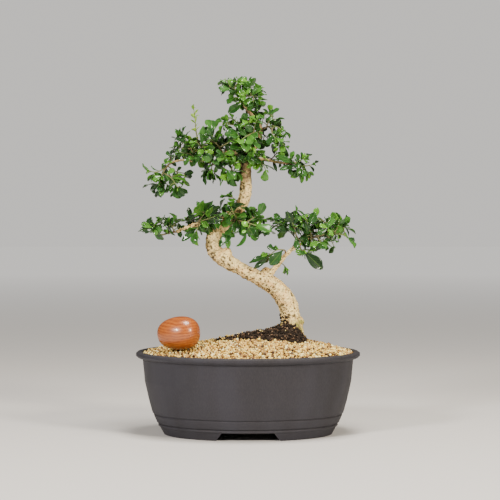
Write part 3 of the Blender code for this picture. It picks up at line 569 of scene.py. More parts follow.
def makeGravel():
    material = pebbleMaterial()
    points, faces, tones = strew(stoneShapes(*ground["pebbleShapes"]), gravelPlaces())
    piece = meshPiece("pebbles", points, faces, [material], slot="pale_gravel", replaced=["gravel"])
    pointValues(piece, "tone", tones)
    sides = ground["sides"]
    rings = []
    for row in range(ground["bedRings"] + 1):
        ring = ovalRing(ground["bedHalf"] * max(row / ground["bedRings"], 0.004), 0.0, 0.0, sides)
        ring[:, 2] = [gravelHeight(x, y) - ground["bedDepth"] for x, y in ring[:, :2]]
        rings.append(ring)
    for half, height in (ground["bedShoulder"], (ground["bedFoot"], ground["soilTop"] + gap)):
        rings.append(ovalRing(half, height, gap, sides))
    bed = meshPiece("gravelBed", np.concatenate(rings), loftFaces(len(rings), sides), [material],
                    slot="pale_gravel")
    faceOutward(bed)
    # the bed is dark: painted shade seen in the gaps between the pebbles
    pointValues(bed, "tone", [ground["bedShade"]] * len(bed.data.vertices))
    print("gravel done:", len(faces), "faces")


def chunkSizes(draw, x):
    # the chunks are smaller where the mound runs out
    size = draw.uniform(*ground["chunkSize"]) * limit(0.45 + (x - ground["mound"][0][0]) / 100.0, 0.45)
    return size, size * draw.uniform(0.6, 1.0), size * draw.uniform(0.5, 0.85)


def crumbPlaces(draw):
    foot, above = ground["crumbLine"]
    low, high = ground["crumbRise"]
    places = []
    for _ in range(ground["crumbs"]):
        z = low + draw.random() ** 1.6 * (high - low)
        up = (z - foot[2]) / (above[2] - foot[2])
        turn = math.radians(draw.uniform(*ground["crumbTurns"]))
        x = foot[0] + up * (above[0] - foot[0]) + ground["crumbReach"] * math.cos(turn)
        y = foot[1] + up * (above[1] - foot[1]) + ground["crumbReach"] * math.sin(turn)
        size = draw.uniform(*ground["crumbSize"])
        places.append(((x, y, z), (size, size * 0.8, size * 0.7), anyTurn(draw),
                       draw.random() ** ground["chunkDarkness"]))
    return places


def soilPlaces():
    draw = random.Random(ground["chunkSeed"])
    places = []
    for lift, keep in ground["chunkLayers"]:
        for x, y in hexGrid(draw, *ground["chunkGrid"]):
            kept = draw.random() < keep
            sizes = chunkSizes(draw, x)
            turn = anyTurn(draw)
            tone = draw.random() ** ground["chunkDarkness"]
            if kept and onMound(x, y, 0.8):
                places.append(((x, y, moundHeight(x, y) + lift), sizes, turn, tone))
    # more chunks in columns up the mound's steep front and back
    pitch = ground["steepPitch"]
    for side in (-1, 1):
        x = ground["mound"][0][0]
        while x < ground["mound"][-1][0]:
            deep = reading(ground["mound"], x, 1)
            foot = gravelHeight(x, side * deep) - 1.0
            rise = reading(ground["mound"], x, 2) - foot
            for step in range(int(rise / pitch) + 1):
                share = min(ground["steepTop"], (step + draw.uniform(0.1, 0.9)) * pitch / rise)
                y = side * deep * (1.0 - share) ** (1.0 / ground["flatness"])
                sizes = chunkSizes(draw, x)
                places.append(((x + draw.uniform(-1.5, 1.5), y, foot + rise * share), sizes, anyTurn(draw),
                               draw.random() ** ground["chunkDarkness"]))
            x += pitch
    return places + crumbPlaces(draw)


def moundCore():
    # the plain body of the mound under its chunks
    columns, rows = ground["core"]
    low, high = ground["mound"][0][0], ground["mound"][-1][0]
    top = []
    for column in range(columns + 1):
        x = low + (high - low) * column / columns
        for row in range(rows + 1):
            y = (2 * row / rows - 1) * reading(ground["mound"], x, 1)
            top.append((x, y, moundHeight(x, y) - 1.2))
    return top + [(x, y, ground["soilTop"] - 2.0) for x, y, _ in top], closedGrid(columns + 1, rows + 1)


def makeSoil():
    chunks, chunkFaces, tones = strew(stoneShapes(*ground["chunkShapes"]), soilPlaces())
    levels, sides = ground["levels"], ground["sides"]
    body = [ovalRing(reading(ground["inner"], z, 1), z, gap, sides) for z in levels]
    points, faces = joinShells([(chunks, chunkFaces), moundCore(),
                                (np.concatenate(body), loftFaces(len(levels), sides))])
    piece = meshPiece("soilChunks", points, faces, [soilMaterial()], slot="dark_soil", replaced=["soil"])
    faceOutward(piece)
    plain = np.full(len(points) - len(tones), ground["coreTone"])
    pointValues(piece, "tone", np.concatenate([tones, plain]))
    print("soil done:", len(faces), "faces")


# The egg, a little blunter at its right end

eggLow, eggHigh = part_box("wooden_egg")
egg = {
    "length": 60.0, "thickness": 46.8, "fullness": 0.72, "blunt": 0.09, "turn": -18.0, "tilt": 4.0,
    "rows": 48, "sides": 72, "centre": (-97.5, -50.0, (eggLow.z + eggHigh.z) / 2 / mm),
    "tones": [(0.0, (0.13, 0.026, 0.005)), (0.35, (0.30, 0.070, 0.009)), (0.75, (0.38, 0.105, 0.014)),
              (1.0, (0.44, 0.14, 0.024))],
}


def eggRadius(x):
    share = x / (egg["length"] / 2)
    narrowing = max(0.0, 1.0 - share * share) ** (egg["fullness"] / 2)
    return egg["thickness"] / 2 * narrowing * (1.0 + egg["blunt"] * share)


def eggBottom(x, y):
    # how far below its middle the egg's skin is at a place, or nothing outside it
    turn = math.radians(egg["turn"])
    along = x * math.cos(turn) + y * math.sin(turn)
    across = -x * math.sin(turn) + y * math.cos(turn)
    if abs(along) >= egg["length"] / 2:
        return None
    left = eggRadius(along) ** 2 - across ** 2
    return -math.sqrt(left) + along * math.tan(math.radians(egg["tilt"])) if left > 0 else None


def polishedWood():
    material, tree, shader = newMaterial("polishedWood", Coat_Weight=0.4, Coat_Roughness=0.08)
    grain = node(tree, "Attribute", attribute_name="grain").outputs["Vector"]
    apart = node(tree, "SeparateXYZ", {0: grain}).outputs
    # rings round a pith that lies behind and below the egg, bent by noise
    y = plus(tree, apart["Y"], 9.0)
    z = plus(tree, apart["Z"], 26.0)
    far = calc(tree, "SQRT", plus(tree, times(tree, y, y), times(tree, z, z)))
    far = plus(tree, far, times(tree, noiseAt(tree, grain, 0.07, 3.0, 0.4), 4.0))
    far = plus(tree, far, times(tree, apart["X"], 0.06))
    rings = calc(tree, "SINE", times(tree, far, 1.7))
    long = node(tree, "VectorMath", {0: grain, 1: (0.06, 1.0, 1.0)}, operation="MULTIPLY").outputs[0]
    fine = noiseAt(tree, long, 1.1, 4.0)
    streak = plus(tree, times(tree, rings, 0.16), times(tree, fine, 0.9))
    base = ramp(tree, remap(tree, streak, 0.1, 0.85), egg["tones"])
    wire(tree, shader, base, remap(tree, fine, 0.3, 0.7, 0.28, 0.4), streak, 0.05, 0.0002)
    return material


def makeEgg():
    rows, sides = egg["rows"], egg["sides"]
    points = []
    for row in range(1, rows):
        x = -math.cos(math.pi * row / rows) * egg["length"] / 2
        for side in range(sides):
            angle = math.tau * side / sides
            points.append((x, eggRadius(x) * math.cos(angle), eggRadius(x) * math.sin(angle)))
    faces = loftFaces(rows - 1, sides, ends=False)
    for end, ring in ((-1, 0), (1, rows - 2)):
        points.append((end * egg["length"] / 2, 0.0, 0.0))
        tip = len(points) - 1
        faces += [(tip, ring * sides + side, ring * sides + (side + 1) % sides) for side in range(sides)]
    place = Matrix.Translation(egg["centre"]) @ Matrix.Rotation(math.radians(egg["turn"]), 4, "Z")
    place = place @ Matrix.Rotation(math.radians(-egg["tilt"]), 4, "Y")
    piece = meshPiece("polishedEgg", [place @ Vector(p) for p in points], faces, [polishedWood()],
                      slot="polished_wood", replaced=["wooden_egg"])
    faceOutward(piece)
    layer = piece.data.attributes.new("grain", "FLOAT_VECTOR", "POINT")
    layer.data.foreach_set("vector", np.array(points, np.float32).ravel())
    print("egg done")


makeSoil()
makeGravel()
makeEgg()


# The foliage: every spray is a seed, the length of stem that the trunk keeps, the stem's radius, which way
# its leaves lean, its twigs as (points, leaf count, leaf lengths), and the leaves that are placed singly
# as (twig, share of the twig, tip, width, facing).

front = (0, -1, 0.25)
sky = (0, -0.35, 1)
between = (0, -0.8, 0.6)


def anyWay(draw):
    return Vector([draw.uniform(-1, 1) for _ in range(3)])


def sprig(seed, stub, radius, lean, twigs, chosen):
    return {"seed": seed, "stub": stub, "radius": radius, "lean": lean, "twigs": twigs, "chosen": chosen}


sprays = {
    "spray_top": sprig(11, 5, 1.8, (0, 0, 0.0), [
        ([(-5, 0, 465), (-7, 0, 479), (-10, 2, 488), (-11, 0, 495)], 3, (16, 24)),
        ([(-8, 1, 482), (-17, -8, 489), (-25, -12, 493)], 2, (14, 22)),
        ([(-9, 1, 485), (0, 10, 490), (7, 14, 494)], 2, (14, 21)),
        ([(-7, 0, 479), (4, -10, 481), (14, -12, 480)], 2, (14, 23)),
        ([(-6, 0, 474), (6, 10, 473), (14, 14, 470)], 2, (14, 23)),
        ([(-6, 0, 475), (-13, -9, 478), (-20, -14, 479)], 2, (12, 20))],
        [(0, 0.9, (3, -6, 500), 9, front),
         (3, 0.15, (20, -16, 487), 12, between),
         (0, 0.06, (-26, -12, 456), 12, front),
         (1, 0.55, (-36, -14, 496), 9, between),
         (1, 0.9, (-39, -10, 505), 4, sky),
         (1, 0.7, (-19, -6, 508), 5, front),
         (2, 0.8, (5, 10, 509), 7, front)]),
    "spray_crown_right": sprig(12, 6, 1.6, (0.1, 0, 0.05), [
        ([(17, 3, 433), (28, -4, 437), (38, -10, 438), (47, -12, 434)], 2, (14, 23)),
        ([(30, -5, 437), (38, 0, 427), (47, 6, 416), (53, 8, 409)], 3, (14, 23)),
        ([(26, -2, 436), (31, -2, 447), (40, 2, 448)], 2, (12, 20)),
        ([(34, -7, 437), (34, -16, 428), (39, -22, 420)], 2, (14, 22))],
        []),
    "spray_crown_left": sprig(13, 5, 1.5, (-0.1, 0, 0.1), [
        ([(10, 3, 450), (-7, -4, 442), (-23, -10, 440), (-37, -14, 444)], 3, (11, 18)),
        ([(-14, -7, 441), (-21, -10, 448), (-28, -14, 449)], 2, (10, 16)),
        ([(-3, -2, 444), (-7, -14, 432), (-14, -22, 424)], 3, (17, 27))],
        [(0, 0.2, (-6, -10, 455), 11, front)]),
    "spray_crown_front": sprig(14, 6, 1.6, (0, -0.1, 0), [
        ([(16, 3, 431), (7, -14, 428), (-3, -24, 423), (-11, -28, 417)], 4, (17, 27)),
        ([(8, -12, 429), (6, -22, 418), (7, -28, 408)], 2, (16, 25))],
        [(0, 0.3, (-3, -22, 437), 11, front)]),
    "spray_crown_back": sprig(15, 6, 1.6, (0, 0.1, 0.05), [
        ([(14, 4, 435), (9, 20, 433), (0, 32, 426), (-7, 38, 419)], 3, (17, 27)),
        ([(10, 16, 434), (19, 26, 429), (29, 32, 420)], 2, (16, 25))],
        []),
    "spray_left_upper": sprig(16, 6, 1.6, (0, 0, 0.15), [
        ([(-37, -7, 397), (-40, -12, 407), (-48, -14, 418), (-52, -14, 428)], 3, (18, 29)),
        ([(-40, -12, 408), (-27, -20, 415), (-17, -26, 421)], 3, (17, 26)),
        ([(-44, -13, 414), (-60, -8, 417), (-70, -6, 418)], 2, (14, 22))],
        [(0, 0.85, (-57, -20, 434), 12, front)]),
    "spray_left_outer": sprig(17, 5, 1.5, (-0.15, 0, 0.1), [
        ([(-72, -3, 390), (-78, -8, 401), (-85, -10, 413), (-89, -8, 421)], 3, (14, 23)),
        ([(-77, -7, 399), (-66, -16, 407), (-58, -20, 414)], 3, (16, 25)),
        ([(-81, -9, 406), (-94, -4, 407), (-102, 2, 410)], 2, (13, 21)),
        ([(-75, -6, 396), (-86, -16, 400), (-96, -22, 401)], 2, (14, 23))],
        [(1, 0.6, (-63, -22, 438), 9, between)]),
    "young_shoot": sprig(18, 5, 1.3, (0, 0, 0.7), [
        ([(-60, -5, 391), (-64, -2, 404), (-71, -4, 418), (-74, -6, 433), (-75, -6, 448),
          (-77, -6, 462)], 8, (8, 13))],
        []),
    "spray_left_under": sprig(19, 5, 1.4, (0, 0, -0.6), [
        ([(-48, -8, 394), (-50, -14, 386), (-52, -18, 377)], 3, (17, 27)),
        ([(-50, -15, 384), (-37, -17, 380), (-25, -18, 373)], 3, (17, 27))],
        []),
    "spray_left_back": sprig(20, 6, 1.6, (0, 0.1, 0.05), [
        ([(-28, -6, 400), (-34, 10, 406), (-46, 24, 407), (-60, 34, 403)], 4, (18, 29)),
        ([(-40, 17, 406), (-49, 26, 417), (-57, 32, 421)], 2, (17, 26)),
        ([(-33, 6, 404), (-20, 20, 410), (-12, 28, 416)], 2, (17, 26))],
        []),
    "spray_left_tip": sprig(21, 4, 1.6, (-0.1, 0, -0.2), [
        ([(-105, 0, 388), (-112, 0, 384), (-118, -4, 377), (-123, -8, 366), (-128, -8, 355)], 4, (14, 22)),
        ([(-116, -3, 379), (-130, -10, 373), (-140, -14, 375)], 2, (12, 18)),
        ([(-121, -6, 372), (-109, -14, 365), (-99, -18, 351)], 4, (16, 25)),
        ([(-115, -2, 382), (-103, 6, 374), (-91, 10, 371)], 2, (12, 20)),
        ([(-111, 0, 386), (-110, 10, 394), (-109, 16, 401)], 2, (14, 22))],
        [(3, 0.95, (-78, 6, 371), 8, front),
         (0, 0.95, (-137, -12, 346), 8, front)]),
    "spray_centre": sprig(22, 11, 1.5, (0, -0.1, 0.1), [
        ([(-1, -1, 390), (10, -16, 393), (20, -24, 396)], 4, (12, 18)),
        ([(13, -18, 394), (20, -20, 386), (25, -20, 376)], 2, (14, 22)),
        ([(8, -14, 392), (1, -22, 401), (-8, -28, 408)], 3, (17, 26))],
        []),
    "spray_right_tip": sprig(23, 4, 1.4, (0.1, 0, 0.05), [
        ([(56, 2, 385), (68, -2, 384), (78, -4, 379), (82, -4, 370)], 3, (12, 20)),
        ([(64, 0, 384), (75, 4, 390), (83, 6, 394)], 2, (11, 17)),
        ([(74, -3, 381), (85, 2, 382), (94, 6, 384)], 2, (8, 12))],
        [(0, 0.35, (39, -8, 394), 9, front),
         (0, 0.5, (46, -14, 376), 9, between)]),
    "spray_right_inner": sprig(24, 4, 1.3, (0, 0.1, 0), [
        ([(31, 7, 389), (36, 16, 394), (41, 22, 400)], 2, (14, 22))],
        [(0, 0.2, (40, 4, 374), 5, front)]),
    "trunk_sprout": sprig(25, 10.5, 1.2, (-0.2, -0.1, 0), [
        ([(-6, 6, 332), (-17, -8, 333), (-24, -12, 339)], 2, (11, 17))],
        []),
    "spray_low_left_tip": sprig(26, 4, 1.7, (-0.1, 0, 0.15), [
        ([(-99, -2, 289), (-114, -2, 286), (-124, -4, 284), (-129, -8, 292), (-135, -10, 299)], 2, (13, 20)),
        ([(-111, -2, 286), (-117, 6, 295), (-123, 10, 302)], 2, (12, 18)),
        ([(-105, -2, 288), (-108, -8, 296), (-112, -12, 302)], 2, (16, 23))],
        [(0, 0.88, (-150, -18, 289), 14, front),
         (0, 0.8, (-157, -4, 289), 3, sky),
         (2, 0.3, (-118, -16, 307), 12, between)]),
    "spray_low_left": sprig(27, 5, 1.7, (-0.05, -0.05, 0), [
        ([(-72, -6, 298), (-67, -14, 307), (-61, -18, 315)], 2, (20, 30)),
        ([(-70, -10, 302), (-57, -22, 307), (-45, -26, 311)], 2, (20, 30)),
        ([(-69, -11, 303), (-71, -18, 294), (-74, -22, 288)], 2, (16, 22))],
        [(0, 0.35, (-40, -20, 324), 14, between),
         (1, 0.3, (-39, -34, 304), 13, front),
         (2, 0.5, (-92, -20, 274), 9, front),
         (2, 0.9, (-77, -26, 272), 11, front)]),
    "spray_low_left_back": sprig(28, 5, 1.7, (-0.05, 0.1, 0.05), [
        ([(-61, -2, 296), (-66, 12, 303), (-75, 26, 305), (-86, 36, 304)], 4, (20, 31)),
        ([(-69, 17, 304), (-58, 28, 310), (-49, 36, 312)], 2, (19, 29))],
        []),
    "spray_low_centre": sprig(29, 12, 1.8, (0, -0.05, 0.05), [
        ([(-27, 8, 307), (-17, -14, 305), (-6, -26, 303), (8, -32, 299), (21, -30, 294)], 4, (20, 32)),
        ([(-16, -16, 305), (-20, -24, 315), (-24, -26, 325)], 2, (18, 27)),
        ([(-3, -27, 302), (8, -20, 308), (16, -16, 311)], 2, (17, 26)),
        ([(-17, -14, 305), (-25, -26, 296), (-30, -30, 287)], 2, (19, 29)),
        ([(3, -29, 300), (-1, -40, 291)], 2, (19, 29))],
        [(3, 0.7, (-39, -34, 268), 9, front),
         (3, 0.9, (-28, -36, 266), 8, front),
         (0, 0.97, (29, -34, 285), 10, front),
         (2, 0.2, (21, -20, 307), 9, sky)]),
    "spray_low_centre_back": sprig(30, 13, 1.8, (0, 0.1, 0.05), [
        ([(-33, 7, 300), (-23, 28, 301), (-9, 44, 300), (6, 54, 297)], 4, (20, 32)),
        ([(-25, 24, 301), (-35, 36, 309), (-41, 46, 315)], 2, (19, 29))],
        []),
    "spray_low_right_tip": sprig(31, 4, 1.9, (0.05, 0, 0.1), [
        ([(84, -4, 277), (99, -6, 282), (116, -6, 285), (134, -4, 284), (142, -2, 279)], 4, (16, 23)),
        ([(92, -5, 280), (86, -12, 294), (82, -14, 308)], 4, (16, 23)),
        ([(105, -6, 283), (111, 0, 295), (115, 2, 305)], 2, (13, 20)),
        ([(122, -6, 285), (128, -10, 297), (130, -12, 307)], 2, (12, 17)),
        ([(99, -6, 282), (102, -16, 275), (103, -20, 271)], 2, (16, 22)),
        ([(111, -6, 284), (118, 8, 276), (123, 14, 267)], 2, (12, 17))],
        [(0, 0.98, (151, -4, 274), 8, front),
         (4, 0.7, (109, -26, 265), 11, front)]),
    "spray_low_right_inner": sprig(32, 5, 1.6, (-0.05, -0.05, 0.05), [
        ([(74, -8, 270), (69, -14, 281), (65, -18, 294), (62, -18, 307)], 3, (16, 25)),
        ([(66, -17, 291), (54, -8, 292), (47, -4, 295)], 2, (14, 21))],
        [(0, 0.95, (33, -12, 307), 5, sky),
         (0, 0.7, (55, -22, 316), 12, front),
         (0, 0.55, (37, -16, 290), 8, front),
         (0, 0.3, (69, -24, 263), 9, front)]),
    "spray_low_right_back": sprig(33, 7, 1.7, (0, 0.1, 0.05), [
        ([(62, -11, 263), (68, 6, 272), (77, 22, 281), (89, 34, 289)], 4, (18, 27)),
        ([(71, 12, 274), (63, 26, 284), (56, 34, 289)], 2, (17, 26)),
        ([(83, 28, 285), (98, 36, 286), (111, 40, 285)], 2, (16, 23))],
        []),
    "spray_low_right_front": sprig(34, 5, 1.4, (0.1, -0.1, 0), [
        ([(72, -8, 269), (75, -18, 264), (78, -24, 262)], 2, (12, 17))],
        [(0, 0.9, (103, -31, 235), 17, front)]),
    "spray_low_right_under": sprig(35, 5, 1.3, (-0.15, -0.1, -0.1), [
        ([(55, -12, 256), (51, -22, 263), (40, -26, 263), (31, -26, 256)], 2, (13, 20))],
        [(0, 0.3, (33, -33, 242), 17, front),
         (0, 0.9, (2, -30, 244), 8, between),
         (0, 0.97, (10, -26, 235), 8, front)]),
}


# Where the small leaves grow: tufts are strewn along a line from one end (x, z) to the other, within a
# radius of it and between a front and a back y. Then how many tufts, leaf lengths, tone and lean.
clouds = [
    ((-27, 499), (11, 477), 13, (-16, 16), 17, (11, 19), 0.50, (0, 0, 0.1)),
    ((-10, 470), (14, 468), 4, (-12, 14), 5, (11, 18), 0.50, (0, 0, 0)),
    ((6, 454), (6, 403), 17, (-21, 24), 24, (11, 20), 0.50, (0, 0, 0.05)),
    ((29, 454), (50, 409), 6, (-8, 18), 9, (10, 18), 0.52, (0, 0, 0)),
    ((-33, 440), (-17, 443), 5, (-12, -4), 3, (10, 16), 0.55, (0, 0, 0.1)),
    ((-102, 406), (-12, 409), 17, (-22, 28), 34, (11, 21), 0.45, (0, 0, 0.1)),
    ((-114, 389), (-108, 400), 4, (-8, 8), 2, (10, 17), 0.50, (-0.2, 0, 0)),
    ((-140, 371), (-83, 367), 4, (-10, 8), 6, (11, 19), 0.52, (0, 0, -0.3)),
    ((-130, 352), (-100, 347), 8, (-16, 8), 7, (12, 20), 0.42, (0, 0, -0.4)),
    ((-58, 373), (-12, 370), 4, (-18, 14), 7, (13, 24), 0.40, (0, -0.1, -0.7)),
    ((7, 389), (26, 383), 2, (-20, -12), 2, (12, 20), 0.55, (0, -0.1, -0.3)),
    ((43, 391), (80, 389), 4, (-8, 10), 6, (11, 19), 0.55, (0.1, 0, 0.05)),
    ((58, 379), (80, 373), 4, (-8, 8), 4, (11, 19), 0.50, (0.1, 0, 0)),
    ((-27, 336), (-23, 343), 1, (-14, -8), 2, (8, 14), 0.40, (-0.1, -0.1, 0)),
    ((-142, 295), (-103, 297), 6, (-14, 12), 5, (15, 25), 0.42, (-0.1, 0, 0)),
    ((-100, 292), (-64, 297), 4, (-12, 8), 4, (10, 18), 0.45, (0, 0, 0)),
    ((-71, 312), (-51, 300), 9, (-22, 26), 9, (12, 22), 0.42, (0, 0, 0.05)),
    ((-85, 283), (-74, 285), 2, (-16, -8), 2, (10, 18), 0.40, (0, 0, -0.3)),
    ((-31, 312), (20, 298), 13, (-28, 38), 26, (12, 22), 0.50, (0, 0, 0)),
    ((40, 302), (137, 295), 11, (-20, 36), 34, (11, 21), 0.42, (0, 0, 0.05)),
    ((71, 280), (108, 276), 6, (-20, 10), 7, (11, 20), 0.40, (0, 0, -0.2)),
    ((78, 260), (97, 262), 2, (-22, -16), 2, (9, 15), 0.60, (0, 0, -0.1)),
    ((25, 252), (29, 254), 1, (-28, -24), 1, (12, 18), 0.45, (-0.4, 0, 0)),
    ((-60, 393), (-15, 392), 6, (-26, -10), 9, (12, 21), 0.38, (0, 0, -0.1)),
    ((-8, 397), (14, 396), 6, (-24, -14), 4, (11, 19), 0.42, (0, 0, 0)),
    ((53, 238), (57, 235), 1, (-20, -16), 1, (9, 15), 0.28, (0.6, 0, -0.8)),
]


# The tree's wood: along its middle as x, y, z, radius

wood = {
    "trunk": [(68, 0, 84, 14.8), (67, 0, 120, 14.8), (65, 0, 143, 14.6), (61, -1, 165, 14.0),
              (54, -3, 190, 13.6), (42, -4, 206, 13.2), (25, -5, 218, 12.0), (2, -6, 229, 9.6),
              (-17, -5, 239, 10.2), (-34, -3, 249, 11.0), (-47, 0, 261, 11.0), (-50, 3, 275, 10.6),
              (-43, 6, 290, 10.0), (-29, 8, 304, 9.6), (-15, 8, 318, 9.4), (-6, 6, 334, 9.2),
              (-3, 3, 352, 8.6), (-4, 0, 371, 8.4), (-2, -2, 391, 8.0), (8, 0, 409, 6.2),
              (16, 3, 427, 4.6), (15, 4, 442, 3.6), (5, 2, 454, 2.8), (-5, 0, 466, 2.2)],
    "limbs": [
        (4.4, 1.9, [(-6, -1, 398), (-26, -6, 400), (-48, -8, 394), (-71, -4, 389), (-91, 2, 390),
                    (-106, 0, 388)]),
        (5.0, 2.0, [(-46, 4, 280), (-60, -2, 295), (-74, -6, 298), (-87, -6, 294), (-100, -2, 289)]),
        (5.2, 2.3, [(27, -5, 221), (44, -10, 244), (58, -12, 260), (72, -8, 269), (85, -4, 277)]),
        (3.4, 1.7, [(-3, 0, 388), (20, 8, 391), (40, 6, 387), (57, 2, 385)])],
    "knobs": [((25, -4, 232), 6.5), ((-30, -2, 258), 7.5), ((73, -3, 160), 7.5), ((-54, -3, 266), 5.5)],
    "twigSides": 4, "voxel": 0.95, "smoothing": 5, "darkFrom": 356.0,
    "mossAt": (75, -12, 151), "mossReach": 20.0,
    # the plain wood of the CAD solids, which the leaves keep clear of, and the fine wood
    "plain": {"step": 12.5, "sides": 9, "rough": 0.8, "limbStep": 18.0, "limbSides": 5, "limbScale": 1.0,
              "stubSides": 4, "stubTaper": 1.0, "ballDetail": 1},
    "fine": {"step": 3.0, "sides": 40, "rough": 0.0, "limbStep": 3.0, "limbSides": 14, "limbScale": 0.97,
             "stubSides": 12, "stubTaper": 0.92, "ballDetail": 3},
    "pale": (0.86, 0.57, 0.22), "cream": (0.98, 0.77, 0.33), "tan": (0.47, 0.26, 0.095),
    "pit": (0.040, 0.026, 0.012), "shade": (0.13, 0.085, 0.045), "moss": (0.22, 0.25, 0.035),
}


def smoothPath(points, step):
    knots = [Vector(p[:3]) for p in points]
    widths = [p[3] if len(p) > 3 else 0.0 for p in points]
    knots = [knots[0] * 2 - knots[1]] + knots + [knots[-1] * 2 - knots[-2]]
    found = []
    for k in range(len(points) - 1):
        a, b, c, d = knots[k:k + 4]
        parts = max(1, round((c - b).length / step))
        for part in range(parts):
            t = part / parts
            bend = a * 2 - b * 5 + c * 4 - d
            spring = b * 3 - a - c * 3 + d
            spot = (b * 2 + (c - a) * t + bend * t ** 2 + spring * t ** 3) / 2
            found.append((spot, widths[k] + (widths[k + 1] - widths[k]) * t))
    found.append((knots[-2], widths[-1]))
    return found


def smoothLine(points, step):
    return [spot for spot, _ in smoothPath(points, step)]


def tube(path, radii, sides, grow=0.0, draw=None, rough=0.0, split=True):
    rings = []
    normal = None
    for k, spot in enumerate(path):
        before = path[max(0, k - 1)]
        after = path[min(len(path) - 1, k + 1)]
        heading = (after - before).normalized()
        if normal is None:
            normal = heading.orthogonal()
        normal = (normal - heading * normal.dot(heading)).normalized()
        sideways = heading.cross(normal)
        for side in range(sides):
            angle = math.tau * side / sides
            radius = radii[k] + grow
            if draw:
                radius += draw.uniform(-rough, rough)
            rings.append(spot + (normal * math.cos(angle) + sideways * math.sin(angle)) * radius)
    faces = []
    for face in loftFaces(len(path), sides, ends=False):
        if split:
            a, b, c, d = face
            faces += [(a, b, c), (a, c, d)]
        else:
            faces.append(face)
    faces.append(tuple(reversed(range(sides))))
    faces.append(tuple(range(len(rings) - sides, len(rings))))
    return rings, faces


def evenRadii(path, first, last):
    steps = len(path) - 1
    return [first + (last - first) * k / steps for k in range(len(path))]


def ball(centre, radius, seed, detail):
    work = bmesh.new()
    bmesh.ops.create_icosphere(work, subdivisions=detail, radius=radius)
    draw = random.Random(seed)
    points = [Vector(centre) + vertex.co * draw.uniform(0.92, 1.08) for vertex in work.verts]
    faces = [tuple(vertex.index for vertex in face.verts) for face in work.faces]
    work.free()
    return points, faces


def woodShells(style, draw=None):
    # the trunk, its limbs, its knobs and the stubs that carry the sprays, each one closed shell
    split = draw is not None
    path = smoothPath(wood["trunk"], style["step"])
    spots, widths = [spot for spot, _ in path], [width for _, width in path]
    shells = [tube(spots, widths, style["sides"], 0.0, draw, style["rough"], split)]
    for first, last, points in wood["limbs"]:
        path = smoothLine(points, style["limbStep"])
        radii = [radius * style["limbScale"] for radius in evenRadii(path, first, last)]
        shells.append(tube(path, radii, style["limbSides"], split=split))
    for number, (centre, radius) in enumerate(wood["knobs"]):
        shells.append(ball(centre, radius, number, style["ballDetail"]))
    for spray in sprays.values():
        start, end, radius = stubOf(spray)
        radii = [radius, radius * style["stubTaper"]]
        shells.append(tube([start, end], radii, style["stubSides"], split=split))
    return shells


def barkMaterial():
    material, tree, shader = newMaterial("barkSkin", Roughness=0.8, Specular_IOR_Level=0.3)
    coarse = specks(tree, 55.0, 330.0, 0.56, 0.68, 0.7)
    fine = specks(tree, 160.0, 1100.0, 0.54, 0.66)
    base = ramp(tree, coarse["Patches"], [(0.3, wood["tan"]), (0.46, wood["pale"]), (0.66, wood["cream"])])
    base = mixColours(tree, remap(tree, fine["Patches"], 0.38, 0.62), base, wood["cream"])
    # painted shade darkens the side that looks left and down and the faces that look down; the top is browner
    # too, partly its own colour and partly painted shade
    shadeAndDarkTop = attribute(tree, "shadeAndDarkTop")
    base = mixColours(tree, shadeAndDarkTop, base, wood["shade"])
    base = mixColours(tree, attribute(tree, "moss"), base, wood["moss"])
    # the pits crowd on the shaded side, so besides real pits they carry painted shade
    pitsAndShade = attribute(tree, "pit")
    base = mixColours(tree, times(tree, fine["Spots"], 0.55), base, wood["tan"])
    base = mixColours(tree, times(tree, coarse["Spots"], 0.5), base, wood["pit"])
    base = mixColours(tree, times(tree, pitsAndShade, 0.92), base, wood["pit"])
    height = calc(tree, "SUBTRACT", fine["Height"], coarse["Spots"])
    wire(tree, shader, base, remap(tree, fine["Grains"], 0.3, 0.7, 0.68, 0.9), height, 0.6, 0.0006)
    return material


